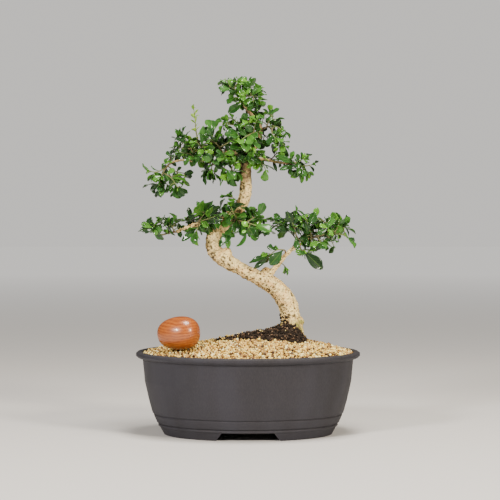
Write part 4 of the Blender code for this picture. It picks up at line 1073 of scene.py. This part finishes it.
def makeTrunk():
    points, faces = joinShells(woodShells(wood["fine"]))
    piece = meshPiece("barkTrunk", points, faces, slot="bark", replaced=["trunk"])
    merge = piece.modifiers.new("merge", "REMESH")
    merge.mode = "VOXEL"
    merge.voxel_size = wood["voxel"] * mm
    soften = piece.modifiers.new("soften", "SMOOTH")
    soften.factor = 0.5
    soften.iterations = wood["smoothing"]
    bakeModifiers(piece)
    mesh = piece.data
    count = len(mesh.vertices)
    spots = np.empty(count * 3, np.float32)
    normals = np.empty(count * 3, np.float32)
    mesh.vertices.foreach_get("co", spots)
    mesh.vertices.foreach_get("normal", normals)
    spots = spots.reshape(-1, 3) / mm
    normals = normals.reshape(-1, 3)
    pitsAndShade, shadeAndDarkTop, moss = np.zeros(count), np.zeros(count), np.zeros(count)
    for k in range(count):
        spot = Vector(spots[k])
        long = Vector((spot.x, spot.y, spot.z * 0.6))
        broad = noise.noise(long * 0.075)
        lumps = noise.noise(long * 0.21 + Vector((7, 3, 1)))
        plates = noise.noise(spot * 0.42 + Vector((3, 9, 4)))
        # pits crowd on the side that looks left and down, away from the light: partly real pits, partly
        # painted shade
        shadedSide = limit(0.15 - 0.75 * normals[k][0] - 0.6 * normals[k][2])
        sparse = 0.30 - 0.23 * shadedSide - 0.10 * max(0.0, lumps)
        pit = max(0.0, noise.noise(spot * 0.5 + Vector((31, 7, 5))) - sparse) * 5.0
        pit = max(pit, (noise.noise(spot * 0.25 + Vector((11, 2, 8))) - sparse - 0.06) * 5.0)
        # the relief fades toward the thin top
        thin = limit((spot.z - 480.0) / -180.0, 0.25)
        spots[k] += normals[k] * (broad * 1.1 + lumps * 1.3 + plates * 0.5 - min(pit, 1.0) * 0.9) * thin
        pitsAndShade[k] = min(1.0, pit)
        # above darkFrom the bark darkens, more on faces that look down: partly its own browner colour under
        # the crown, partly painted shade; the side that looks left and down gets painted shade as well
        high = limit((spot.z - wood["darkFrom"]) / 8.0) * (1.0 if abs(spot.x) < 30 else 0.6)
        darkTop = high * (0.8 + lumps * 0.5 - 0.3 * normals[k][2])
        shadeAndDarkTop[k] = min(0.95, darkTop + shadedSide * max(0.0, 0.25 + broad))
        near = max(0.0, 1.0 - (spot - Vector(wood["mossAt"])).length / wood["mossReach"])
        moss[k] = min(0.85, near * 2.6 * max(0.0, 0.5 + lumps))
    mesh.vertices.foreach_set("co", (spots * mm).astype(np.float32).ravel())
    mesh.materials.append(barkMaterial())
    mesh.update()
    mesh.shade_smooth()
    for name, values in (("pit", pitsAndShade), ("shadeAndDarkTop", shadeAndDarkTop), ("moss", moss)):
        pointValues(piece, name, values)
    print("trunk done:", len(mesh.polygons), "faces")


leaves = {
    "twigRadius": 1.2, "tipRadius": 0.9, "turn": 137.5, "tries": 14, "clearance": 1.5, "coarse": 0.75,
    # half outlines of the plain solid leaves: share of the length, share of the half width
    "large": [(0.0, 0.0), (0.57, 1.0), (0.90, 0.76), (0.865, 0.36), (1.0, 0.0)], "largeFrom": 21.5,
    "small": [(0.0, 0.0), (0.62, 1.0), (0.98, 0.52), (0.89, 0.0)],
    "largeSides": [(0, 7, 1), (1, 3, 2), (7, 6, 5), (1, 7, 5), (1, 5, 3), (3, 5, 4)],
    "smallSides": [(0, 5, 1), (1, 3, 2), (5, 4, 3), (1, 5, 3)],
    # the fine leaves
    "thickness": 0.34, "largeGrid": (10, 9), "smallGrid": (7, 7), "fineFrom": 15.0,
    "outline": [(0.0, 0.05), (0.07, 0.10), (0.16, 0.24), (0.28, 0.50), (0.42, 0.78), (0.56, 0.95),
                (0.68, 1.0), (0.80, 0.97), (0.90, 0.86), (1.0, 0.66)],
    # the small leaves and the tufts
    "extra": 0.8, "smallScale": (0.6, 0.8), "smallTries": 6, "fineBlade": 0.4, "woodCounts": 4,
    "spacing": 10.0, "tipTries": 30, "anchors": (0.15, 0.3, 0.45, 0.6, 0.75, 0.9, 1.0), "margin": 1.5,
    "plainSeed": 3, "twigSeed": 500, "tuftSeed": 700, "fineSeed": 900, "stemSides": 7, "calm": 0.35,
    # tones run from 0, old and dark, to 1, young and lime; behind darkens the leaves toward the back, a
    # painted shade
    "mainTone": 0.40, "chosenTone": 0.24, "spread": 0.18, "behind": 0.008,
    "dark": [(0.0, (0.005, 0.021, 0.005)), (0.3, (0.012, 0.059, 0.009)), (0.5, (0.031, 0.119, 0.014)),
             (0.7, (0.059, 0.186, 0.018)), (0.88, (0.096, 0.275, 0.020)), (1.0, (0.16, 0.39, 0.03))],
    "lime": [(0.0, (0.13, 0.27, 0.03)), (0.5, (0.26, 0.45, 0.05)), (1.0, (0.45, 0.60, 0.10))],
    "vein": (0.12, 0.22, 0.045), "fleck": (0.30, 0.36, 0.16), "twigFleck": (0.26, 0.19, 0.11),
    "wood": (0.15, 0.095, 0.05), "stem": (0.10, 0.18, 0.035),
}


def stubOf(spray):
    first, second = (Vector(p) for p in spray["twigs"][0][0][:2])
    return first, first + (second - first).normalized() * spray["stub"], spray["radius"]


def twigPaths(spray):
    paths = [[Vector(p) for p in twig[0]] for twig in spray["twigs"]]
    first, second = paths[0][:2]
    paths[0][0] = first + (second - first).normalized() * (spray["stub"] + gap)
    return paths


def pointOn(path, share):
    lengths = [(b - a).length for a, b in zip(path, path[1:])]
    left = share * sum(lengths)
    for a, b, length in zip(path, path[1:], lengths):
        if left <= length:
            break
        left -= length
    return a.lerp(b, min(1.0, left / length)), (b - a).normalized()


def mirrored(half):
    left = [(share, -side) for share, side in half]
    right = [(share, side) for share, side in reversed(half[1:-1])]
    return left + right


largeOutline = mirrored(leaves["large"])
smallOutline = mirrored(leaves["small"])


def blade(leaf, thickness=leaves["coarse"]):
    # the plain closed blade of the CAD solids
    base, heading, facing, length, width, arch = leaf[:6]
    across = facing.cross(heading).normalized()
    upward = heading.cross(across)
    turn = Matrix((heading, across, upward)).transposed()
    big = length > leaves["largeFrom"]
    outline, sides = (largeOutline, leaves["largeSides"]) if big else (smallOutline, leaves["smallSides"])
    above, below = [], []
    for share, half in outline:
        bend = arch * share
        spot = Vector((length * (math.sin(bend) / arch if arch else share), half * width / 2,
                       -length * ((1 - math.cos(bend)) / arch if arch else 0.0)))
        normal = Vector((math.sin(bend), 0.0, math.cos(bend)))
        above.append(base + turn @ (spot + normal * thickness / 2))
        below.append(base + turn @ (spot - normal * thickness / 2))
    count = len(outline)
    faces = list(sides)
    faces += [(c + count, b + count, a + count) for a, b, c in sides]
    used = {(a, b) for face in sides for a, b in zip(face, face[1:] + face[:1])}
    faces += [(b, a, a + count, b + count) for a, b in used if (b, a) not in used]
    return above + below, faces


def ruledLeaf(draw, path, share, turn, sizes, lean):
    base, forward = pointOn(path, share)
    around = Quaternion(forward, turn) @ forward.orthogonal().normalized()
    wobble = anyWay(draw)
    heading = around * 0.75 + forward * (0.35 + 0.5 * share) + lean + wobble * 0.22
    heading.normalize()
    outward = Vector((base.x, base.y, 0.0)) / 110.0
    facing = Vector((0, 0, 1)) + outward * 0.9 + anyWay(draw) * 0.55
    facing -= heading * facing.dot(heading)
    length = draw.uniform(*sizes)
    width = length * draw.uniform(0.58, 0.72)
    arch = draw.uniform(0.15, 0.75)
    return base, heading, facing.normalized(), length, width, arch


def chosenLeaf(path, share, tip, width, facing):
    base, _ = pointOn(path, share)
    heading = Vector(tip) - base
    length = heading.length
    heading = (heading / length + Vector((0, 0, 0.12))).normalized()
    facing = Vector(facing)
    facing -= heading * facing.dot(heading)
    return base, heading, facing.normalized(), length * 1.02, width, 0.3


def treeOf(points, faces):
    return BVHTree.FromPolygons([Vector(p) for p in points], faces)


def crossings(leaf, name, placed):
    # how many foreign pieces and how many leaves of its own spray a main leaf would cross
    thin = treeOf(*blade(leaf))
    thick = treeOf(*blade(leaf, leaves["coarse"] + leaves["clearance"]))
    foreign = own = 0
    for skin, owner, base, reach in placed:
        if base is not None and (base - leaf[0]).length > reach + leaf[3] + 3.0:
            continue
        if owner == name:
            if base is not None and thin.overlap(skin):
                own += 1
        elif thick.overlap(skin):
            foreign += 1
    return foreign, own


def mainLeaf(draw, name, placed, path, share, turn, sizes, lean):
    # the first try that crosses nothing, or the one that crosses the fewest leaves of its own spray
    best = None
    for attempt in range(leaves["tries"]):
        leaf = ruledLeaf(draw, path, share, turn + attempt * 0.6, sizes, lean)
        foreign, own = crossings(leaf, name, placed)
        if foreign:
            continue
        if best is None or own < best[0]:
            best = (own, leaf)
        if own == 0:
            break
    return best[1] if best else None


def growLeaves():
    # the leaves of the CAD solids, by the same rule and the same draws
    shells = woodShells(wood["plain"], random.Random(leaves["plainSeed"]))
    placed = [(treeOf(*shell), None, None, 0.0) for shell in shells]
    for name, spray in sprays.items():
        for number, path in enumerate(twigPaths(spray)):
            radii = evenRadii(path, leaves["twigRadius"] if number else spray["radius"], leaves["tipRadius"])
            skin = tube(path, radii, wood["twigSides"], leaves["clearance"] / 2)
            placed.append((treeOf(*skin), name, None, 0.0))
    grown = {}
    for name, spray in sprays.items():
        draw = random.Random(spray["seed"])
        paths = twigPaths(spray)
        found = []
        for number, share, tip, width, facing in spray["chosen"]:
            found.append(chosenLeaf(paths[number], share, tip, width, facing))
        for leaf in found:
            placed.append((treeOf(*blade(leaf)), name, leaf[0], leaf[3]))
        lean = Vector(spray["lean"])
        for path, (_, count, sizes) in zip(paths, spray["twigs"]):
            turn = draw.uniform(0, math.tau)
            for k in range(count):
                share = 1.0 - 0.72 * k / max(1, count) - 0.02
                turn += math.radians(leaves["turn"])
                leaf = mainLeaf(draw, name, placed, path, share, turn, sizes, lean)
                if leaf:
                    found.append(leaf)
                    placed.append((treeOf(*blade(leaf)), name, leaf[0], leaf[3]))
        alone = len(spray["chosen"])
        middles = [leaves["chosenTone"]] * alone + [leaves["mainTone"]] * (len(found) - alone)
        grown[name] = [leaf + (leafTone(draw, middle),) for leaf, middle in zip(found, middles)]
    print("main leaves:", sum(len(found) for found in grown.values()))
    return grown, placed


def leafTone(draw, middle):
    return limit(draw.gauss(middle, leaves["spread"]))


def insideBox(spot):
    margin = leaves["margin"]
    return all(low / mm + margin < value < high / mm - margin
               for low, high, value in zip(cadLow, cadHigh, spot))


def outerLeaf(draw, path, share, turn, sizes, lean, openness):
    # a leaf of a tuft: it spreads from its twig and shows its face outward and up
    base, forward = pointOn(path, share)
    around = Quaternion(forward, turn) @ forward.orthogonal().normalized()
    wobble = anyWay(draw)
    heading = (around * openness + forward * (1.15 - openness) + lean + wobble * 0.2).normalized()
    outward = Vector((base.x - axisAt(base.z), base.y * 1.5, 0.0)).normalized()
    facing = forward * 0.7 + outward * 0.55 + Vector((0, 0, 0.75))
    facing += anyWay(draw) * 0.35
    facing -= heading * facing.dot(heading)
    length = draw.uniform(*sizes)
    width = length * draw.uniform(0.45, 0.66)
    return base, heading, facing.normalized(), length, width, draw.uniform(0.1, 0.9)


def axisAt(z):
    return min(wood["trunk"], key=lambda p: abs(p[2] - z))[0]


def crossedBy(leaf, name, placed):
    # how much a small leaf would cross: a leaf counts once, the wood of the trunk or of another spray more
    skin = treeOf(*blade(leaf, leaves["fineBlade"]))
    crossed = 0
    for other, owner, base, reach in placed:
        if base is None:
            if owner != name and skin.overlap(other):
                crossed += leaves["woodCounts"]
        elif (base - leaf[0]).length < reach + leaf[3] and skin.overlap(other):
            crossed += 1
    return crossed


def frontLeaves():
    # the leaves placed one by one that show their faces to the front: root, tip and half width, seen flat
    found = []
    for name, spray in sprays.items():
        paths = twigPaths(spray)
        for twig, share, tip, width, facing in spray["chosen"]:
            if facing is not sky:
                base, _ = pointOn(paths[twig], share)
                found.append((Vector((base.x, base.z)), Vector((tip[0], tip[2])), width * 0.5, tip[1]))
    return found


def hidesOne(leaf, shown):
    # whether a small leaf stands before one of the leaves that show their faces
    for part in (0.35, 0.7, 1.0):
        spot = leaf[0] + leaf[1] * leaf[3] * part
        for root, tip, half, depth in shown:
            line = tip - root
            offset = Vector((spot.x, spot.z)) - root
            along = offset.dot(line) / line.length_squared
            if spot.y < depth + 3.0 and 0.12 < along < 1.0 and abs(offset.cross(line)) / line.length < half:
                return True
    return False


def addOuterLeaf(draw, name, grown, placed, path, share, turn, sizes, lean, openness, tone, shown):
    best = None
    for attempt in range(leaves["smallTries"]):
        leaf = outerLeaf(draw, path, share, turn + attempt * 0.7, sizes, lean, openness)
        tip = leaf[0] + leaf[1] * leaf[3]
        if not insideBox(tip) or hidesOne(leaf, shown):
            continue
        crossed = crossedBy(leaf, name, placed)
        if best is None or crossed < best[0]:
            best = (crossed, leaf)
        if crossed == 0:
            break
    if best and best[0] < leaves["woodCounts"]:
        # painted shade: leaves behind the trunk are darker
        behind = leaves["behind"] * max(0.0, best[1][0].y)
        grown[name].append(best[1] + (leafTone(draw, tone - behind),))
        placed.append((treeOf(*blade(best[1], leaves["fineBlade"])), name, best[1][0], best[1][3]))


def addTwigLeaves(grown, placed, shown):
    # small leaves along the sprays' own twigs, the youngest at the tips
    for name, spray in sprays.items():
        draw = random.Random(spray["seed"] + leaves["twigSeed"])
        lean = Vector(spray["lean"])
        for path, (_, count, sizes) in zip(twigPaths(spray), spray["twigs"]):
            low, high = (size * scale for size, scale in zip(sizes, leaves["smallScale"]))
            turn = draw.uniform(0, math.tau)
            wanted = round(count * leaves["extra"])
            for k in range(wanted + 3):
                turn += math.radians(leaves["turn"])
                if k < wanted:
                    share = draw.uniform(0.12, 0.97)
                    addOuterLeaf(draw, name, grown, placed, path, share, turn, (low, high), lean, 0.8, 0.5,
                                 shown)
                else:
                    young = (low * 0.6, low)
                    addOuterLeaf(draw, name, grown, placed, path, 0.995, turn, young, lean, 0.5, 0.8, shown)


def woodPoints():
    # places where a tuft's own twig may start: on the sprays' twigs, and on the trunk and limbs
    found = []
    for name, spray in sprays.items():
        for path in twigPaths(spray):
            found += [(pointOn(path, share)[0], name, 1.0) for share in leaves["anchors"]]
    bare = smoothLine(wood["trunk"][10:], 6.0)
    for _, _, points in wood["limbs"]:
        bare += smoothLine(points, 6.0)
    for spot in bare:
        name = min(found, key=lambda anchor: (anchor[0] - spot).length)[1]
        found.append((spot, name, 1.5))
    return found


def strewTips(draw, first, last, radius, depth, count):
    # places strewn within a radius of a line, none closer to another than the spacing
    tips = []
    first, last = Vector(first), Vector(last)
    for _ in range(count * leaves["tipTries"]):
        away = Vector((draw.uniform(-1, 1), draw.uniform(-1, 1)))
        flat = first.lerp(last, draw.random()) + away * radius
        tip = Vector((flat.x, draw.uniform(*depth), flat.y))
        if away.length <= 1.0 and all((tip - other).length > leaves["spacing"] for other in tips):
            tips.append(tip)
        if len(tips) == count:
            break
    return tips


def addTufts(grown, placed, shown):
    # short twigs, each with a tuft of leaves round its tip
    shoots = {name: [] for name in sprays}
    anchors = woodPoints()
    for number, (first, last, radius, depth, wanted, sizes, tone, lean) in enumerate(clouds):
        draw = random.Random(leaves["tuftSeed"] + number)
        for end in strewTips(draw, first, last, radius, depth, wanted):
            start, name, _ = min(anchors, key=lambda a: (a[0] - end).length * a[2])
            path = [start, start.lerp(end, 0.5) + Vector((0, 0, (end - start).length * 0.12)), end]
            if (end - start).length < 3.0:
                path = [start - Vector((0, 0, 3)), start, end + Vector((0, 0, 1))]
            path = smoothLine(path, 4.0)
            shoots[name].append(path)
            skin = tube(path, evenRadii(path, 0.8, 0.5), wood["twigSides"])
            placed.append((treeOf(*skin), name, None, 0.0))
            turn = draw.uniform(0, math.tau)
            middle = draw.gauss(tone, 0.15)
            count = draw.choice((4, 4, 5, 6))
            for k in range(count):
                turn += math.radians(leaves["turn"])
                share = 1.0 - 0.09 * k
                scale = 0.75 + 0.25 * min(1.0, k / 2)
                scaled = [size * scale for size in sizes]
                addOuterLeaf(draw, name, grown, placed, path, share, turn, scaled, Vector(lean),
                             0.62 + 0.06 * k, middle + 0.12 - 0.05 * k, shown)
            addOuterLeaf(draw, name, grown, placed, path, 0.998, turn + 1.0, (4.5, 7.0), Vector(lean), 0.35,
                         middle + 0.30, shown)
    print("all leaves:", sum(len(found) for found in grown.values()))
    return shoots


# The fine leaf is one grid, bent and cupped for each leaf: rows from root to tip, columns across

def leafGrid(rows, columns):
    along = np.linspace(0.0, 1.0, rows)
    across = np.linspace(-1.0, 1.0, columns)
    half = np.interp(along, *zip(*leaves["outline"]))
    # the tip is rounded and cut into small teeth
    reach = 1.0 - 0.16 * across ** 2
    reach[0::2] += 0.028
    reach /= reach.max()
    blend = along ** 3
    grow = 1.0 + (reach[None, :] - 1.0) * blend[:, None]
    share = along[:, None] * grow
    side = half[:, None] * across[None, :]
    places = [share.ravel(), side.ravel(), np.tile(across, rows), np.repeat(along, columns)]
    return *places, closedGrid(rows, columns)


largeGrid, smallGrid = leafGrid(*leaves["largeGrid"]), leafGrid(*leaves["smallGrid"])


def fineLeaf(leaf, grid, draw, calm=1.0):
    gridShare, gridSide, gridAcross, gridAlong, _ = grid
    base, heading, facing, length, width, arch = leaf[:6]
    cup = draw.uniform(0.05, 0.24)
    curl = draw.uniform(-0.05, 0.16) * calm
    wave = draw.uniform(0.0, 0.055)
    phase = draw.uniform(0, math.tau)
    twist = draw.uniform(-0.35, 0.35) * calm
    sideways = facing.cross(heading).normalized()
    upward = heading.cross(sideways)
    bend = arch * gridShare
    half = width / 2
    lift = half * (cup * gridSide ** 2 + 0.05 * np.abs(gridSide))
    lift += length * wave * np.abs(gridAcross) * np.sin(gridAlong * 9.0 + phase + gridAcross * 1.3)
    lift -= length * curl * gridShare ** 4 * 0.5
    lift -= half * 0.05 * np.exp(-(gridAcross * 5.0) ** 2)
    turned = twist * gridShare
    side = half * gridSide * np.cos(turned) - lift * np.sin(turned)
    lift = lift * np.cos(turned) + half * gridSide * np.sin(turned)
    reach = length * np.sin(bend) / arch
    fall = length * (1 - np.cos(bend)) / arch
    thick = leaves["thickness"] / 2
    points = []
    for sign in (1.0, -1.0):
        high = lift + sign * thick
        x = reach + np.sin(bend) * high
        z = -fall + np.cos(bend) * high
        points.append(np.outer(x, heading) + np.outer(side, sideways) + np.outer(z, upward) + np.array(base))
    return np.concatenate(points)


def twigTube(path, first, last, draw):
    fine = smoothLine(path, 2.6)
    radii = evenRadii(fine, first, last)
    swell = [radius * (1.0 + 0.22 * max(0.0, math.sin(k * 1.9 + first))) for k, radius in enumerate(radii)]
    return tube(fine, swell, leaves["stemSides"], 0.0, draw, 0.06, split=False)


def leafMaterial(name, stops):
    material, tree, shader = newMaterial(name, Coat_Weight=0.5, Coat_Roughness=0.11, Specular_IOR_Level=0.12)
    place = node(tree, "UVMap", uv_map="leafMap").outputs["UV"]
    apart = node(tree, "SeparateXYZ", {0: place})
    across = calc(tree, "ABSOLUTE", calc(tree, "SUBTRACT", apart.outputs["X"], 0.5))
    along = apart.outputs["Y"]
    middle = remap(tree, across, 0.012, 0.045, 1.0, 0.0)
    slant = calc(tree, "SUBTRACT", times(tree, along, 6.5), times(tree, across, 5.0))
    beside = calc(tree, "ABSOLUTE", calc(tree, "SUBTRACT", calc(tree, "FRACT", slant), 0.5))
    ribs = remap(tree, beside, 0.0, 0.09, 1.0, 0.0)
    veins = calc(tree, "MAXIMUM", middle, times(tree, ribs, 0.45))
    fine = specks(tree, 130.0, 1500.0, 0.6, 0.72)
    tone = attribute(tree, "tone")
    shade = plus(tree, tone, remap(tree, fine["Patches"], 0.3, 0.7, -0.1, 0.1))
    shade = plus(tree, shade, remap(tree, across, 0.25, 0.5, 0.0, 0.06))
    base = ramp(tree, shade, stops)
    base = mixColours(tree, times(tree, veins, 0.38), base, leaves["vein"])
    base = mixColours(tree, times(tree, fine["Spots"], 0.18), base, leaves["fleck"])
    rough = remap(tree, fine["Grains"], 0.35, 0.7, 0.34, 0.52)
    height = plus(tree, times(tree, veins, -0.6), times(tree, fine["Patches"], 0.8))
    wire(tree, shader, base, rough, height, 0.35, 0.0004)
    return material


def twigMaterial():
    material, tree, shader = newMaterial("twigSkin", Specular_IOR_Level=0.35)
    fine = specks(tree, 200.0, 1200.0, 0.5, 0.62)
    base = mixColours(tree, attribute(tree, "tone"), leaves["wood"], leaves["stem"])
    base = mixColours(tree, times(tree, fine["Spots"], 0.5), base, leaves["twigFleck"])
    wire(tree, shader, base, remap(tree, fine["Patches"], 0.3, 0.7, 0.55, 0.8), fine["Height"], 0.5, 0.0004)
    return material


def makeSprays():
    grown, placed = growLeaves()
    shown = frontLeaves()
    addTwigLeaves(grown, placed, shown)
    shoots = addTufts(grown, placed, shown)
    green, lime = leafMaterial("leafGreen", leaves["dark"]), leafMaterial("leafLime", leaves["lime"])
    bark = twigMaterial()
    total = 0
    for name, spray in sprays.items():
        draw = random.Random(spray["seed"] + leaves["fineSeed"])
        shells, tones, maps, kinds = [], [], [], []
        for k, leaf in enumerate(grown[name]):
            grid = largeGrid if leaf[3] > leaves["fineFrom"] else smallGrid
            shape = fineLeaf(leaf, grid, draw, leaves["calm"] if k < len(spray["chosen"]) else 1.0)
            shells.append((shape, grid[4]))
            tones.append(np.full(len(shape), leaf[6]))
            flat = np.stack([grid[2] * 0.5 + 0.5, grid[3]], axis=1)
            maps.append(np.concatenate([flat, flat]))
            kinds += [0] * len(grid[4])
        stems = [(path, leaves["twigRadius"] * 0.85) for path in twigPaths(spray)]
        stems[0] = (stems[0][0], spray["radius"] * 0.9)
        stems += [(path, 0.75) for path in shoots[name]]
        around = leaves["stemSides"]
        for number, (path, first) in enumerate(stems):
            shape, sides = twigTube(path, first, 0.5, draw)
            shells.append((shape, sides))
            # a twig is brown at its root and green at its tip
            young = np.linspace(0.25 if number else 0.0, 1.0, len(shape) // around)
            tones.append(np.repeat(young, around))
            maps.append(np.zeros((len(shape), 2)))
            kinds += [1] * len(sides)
        points, faces = joinShells(shells)
        isYoung = name == "young_shoot"
        pieceName = name.replace("spray_", "leaves_") if name.startswith("spray_") else name + "_leaves"
        piece = meshPiece(pieceName, points, faces, [lime if isYoung else green, bark],
                          slot="young_leaf" if isYoung else "leaf", replaced=[name])
        mesh = piece.data
        mesh.polygons.foreach_set("material_index", kinds)
        pointValues(piece, "tone", np.concatenate(tones))
        corners = np.empty(len(mesh.loops), np.int32)
        mesh.loops.foreach_get("vertex_index", corners)
        layer = mesh.uv_layers.new(name="leafMap")
        layer.data.foreach_set("uv", np.concatenate(maps)[corners].astype(np.float32).ravel())
        total += len(faces)
    print("foliage done:", total, "faces")


makeTrunk()
makeSprays()


# Floor, light and camera

studio = {
    "camera": (0.0028, -3.0, 0.400), "target": (0.0028, 0.0, 0.262), "lens": 151.85, "sensor": 36.0,
    "floor": (0.72, 0.70, 0.67), "sky": (1.0, 0.94, 0.87), "skyStrength": 0.19, "backdrop": (0.74, 0.72, 0.69),
    "floorHalf": 6.0, "floorPatch": (0.7, 0.68, 0.65), "floorFrom": 0.7, "floorTo": 4.0,
    # name, place, aim, size, power, colour
    "lamps": [("keyLeft", (-1.5, -1.9, 1.25), (0, 0, 0.25), 0.4, 70, (1.0, 0.95, 0.90)),
              ("keyRight", (1.6, -1.7, 1.15), (0, 0, 0.25), 0.4, 72, (1.0, 0.91, 0.78)),
              ("top", (0.2, -0.3, 1.9), (0, 0, 0.2), 0.6, 42, (1.0, 0.95, 0.88))],
}


def aim(piece, place, target):
    piece.location = place
    piece.rotation_mode = "QUATERNION"
    piece.rotation_quaternion = (Vector(target) - Vector(place)).to_track_quat("-Z", "Y")


def makeStudio():
    corner = studio["floorHalf"] / mm
    square = [(-corner, -corner, 0), (corner, -corner, 0), (corner, corner, 0), (-corner, corner, 0)]
    floor = meshPiece("floor", square, [(0, 1, 2, 3)])
    material, tree, shader = newMaterial("paleFloor", Roughness=0.6)
    fine = specks(tree, 6.0, 120.0)
    patches = remap(tree, fine["Patches"], 0.3, 0.7, 0.0, 0.12)
    base = mixColours(tree, patches, studio["floor"], studio["floorPatch"])
    # far out the floor glows as pale as the backdrop, so that no line parts them
    place = node(tree, "TexCoord").outputs["Object"]
    away = node(tree, "VectorMath", {0: place}, operation="LENGTH").outputs["Value"]
    far = remap(tree, away, studio["floorFrom"], studio["floorTo"])
    black = (0, 0, 0)
    wire(tree, shader, mixColours(tree, far, base, black), height=fine["Grains"], bump=0.05)
    tree.links.new(mixColours(tree, far, black, studio["backdrop"]), shader.inputs["Emission Color"])
    shader.inputs["Emission Strength"].default_value = 1.0
    floor.data.materials.append(material)
    world = bpy.data.worlds.new("studio")
    world.use_nodes = True
    # the camera sees a pale backdrop, and the part gets a softer fill
    tree = world.node_tree
    fill = tree.nodes["Background"]
    fill.inputs["Color"].default_value = opaque(studio["sky"])
    fill.inputs["Strength"].default_value = studio["skyStrength"]
    backdrop = node(tree, "Background", {"Color": opaque(studio["backdrop"]), "Strength": 1.0})
    seen = node(tree, "LightPath").outputs["Is Camera Ray"]
    both = node(tree, "MixShader", {0: seen, 1: fill.outputs[0], 2: backdrop.outputs[0]})
    tree.links.new(both.outputs[0], tree.nodes["World Output"].inputs["Surface"])
    bpy.context.scene.world = world
    for name, place, target, size, power, colour in studio["lamps"]:
        lamp = bpy.data.lights.new(name, "AREA")
        lamp.size = size
        lamp.energy = power
        lamp.color = colour
        holder = bpy.data.objects.new(name, lamp)
        bpy.context.scene.collection.objects.link(holder)
        aim(holder, place, target)
    lens = bpy.data.cameras.new("camera")
    lens.lens = studio["lens"]
    lens.sensor_width = studio["sensor"]
    lens.clip_start, lens.clip_end = 0.05, 50.0
    eye = bpy.data.objects.new("camera", lens)
    bpy.context.scene.collection.objects.link(eye)
    aim(eye, studio["camera"], studio["target"])
    bpy.context.scene.camera = eye


makeStudio()
print("scene ready")
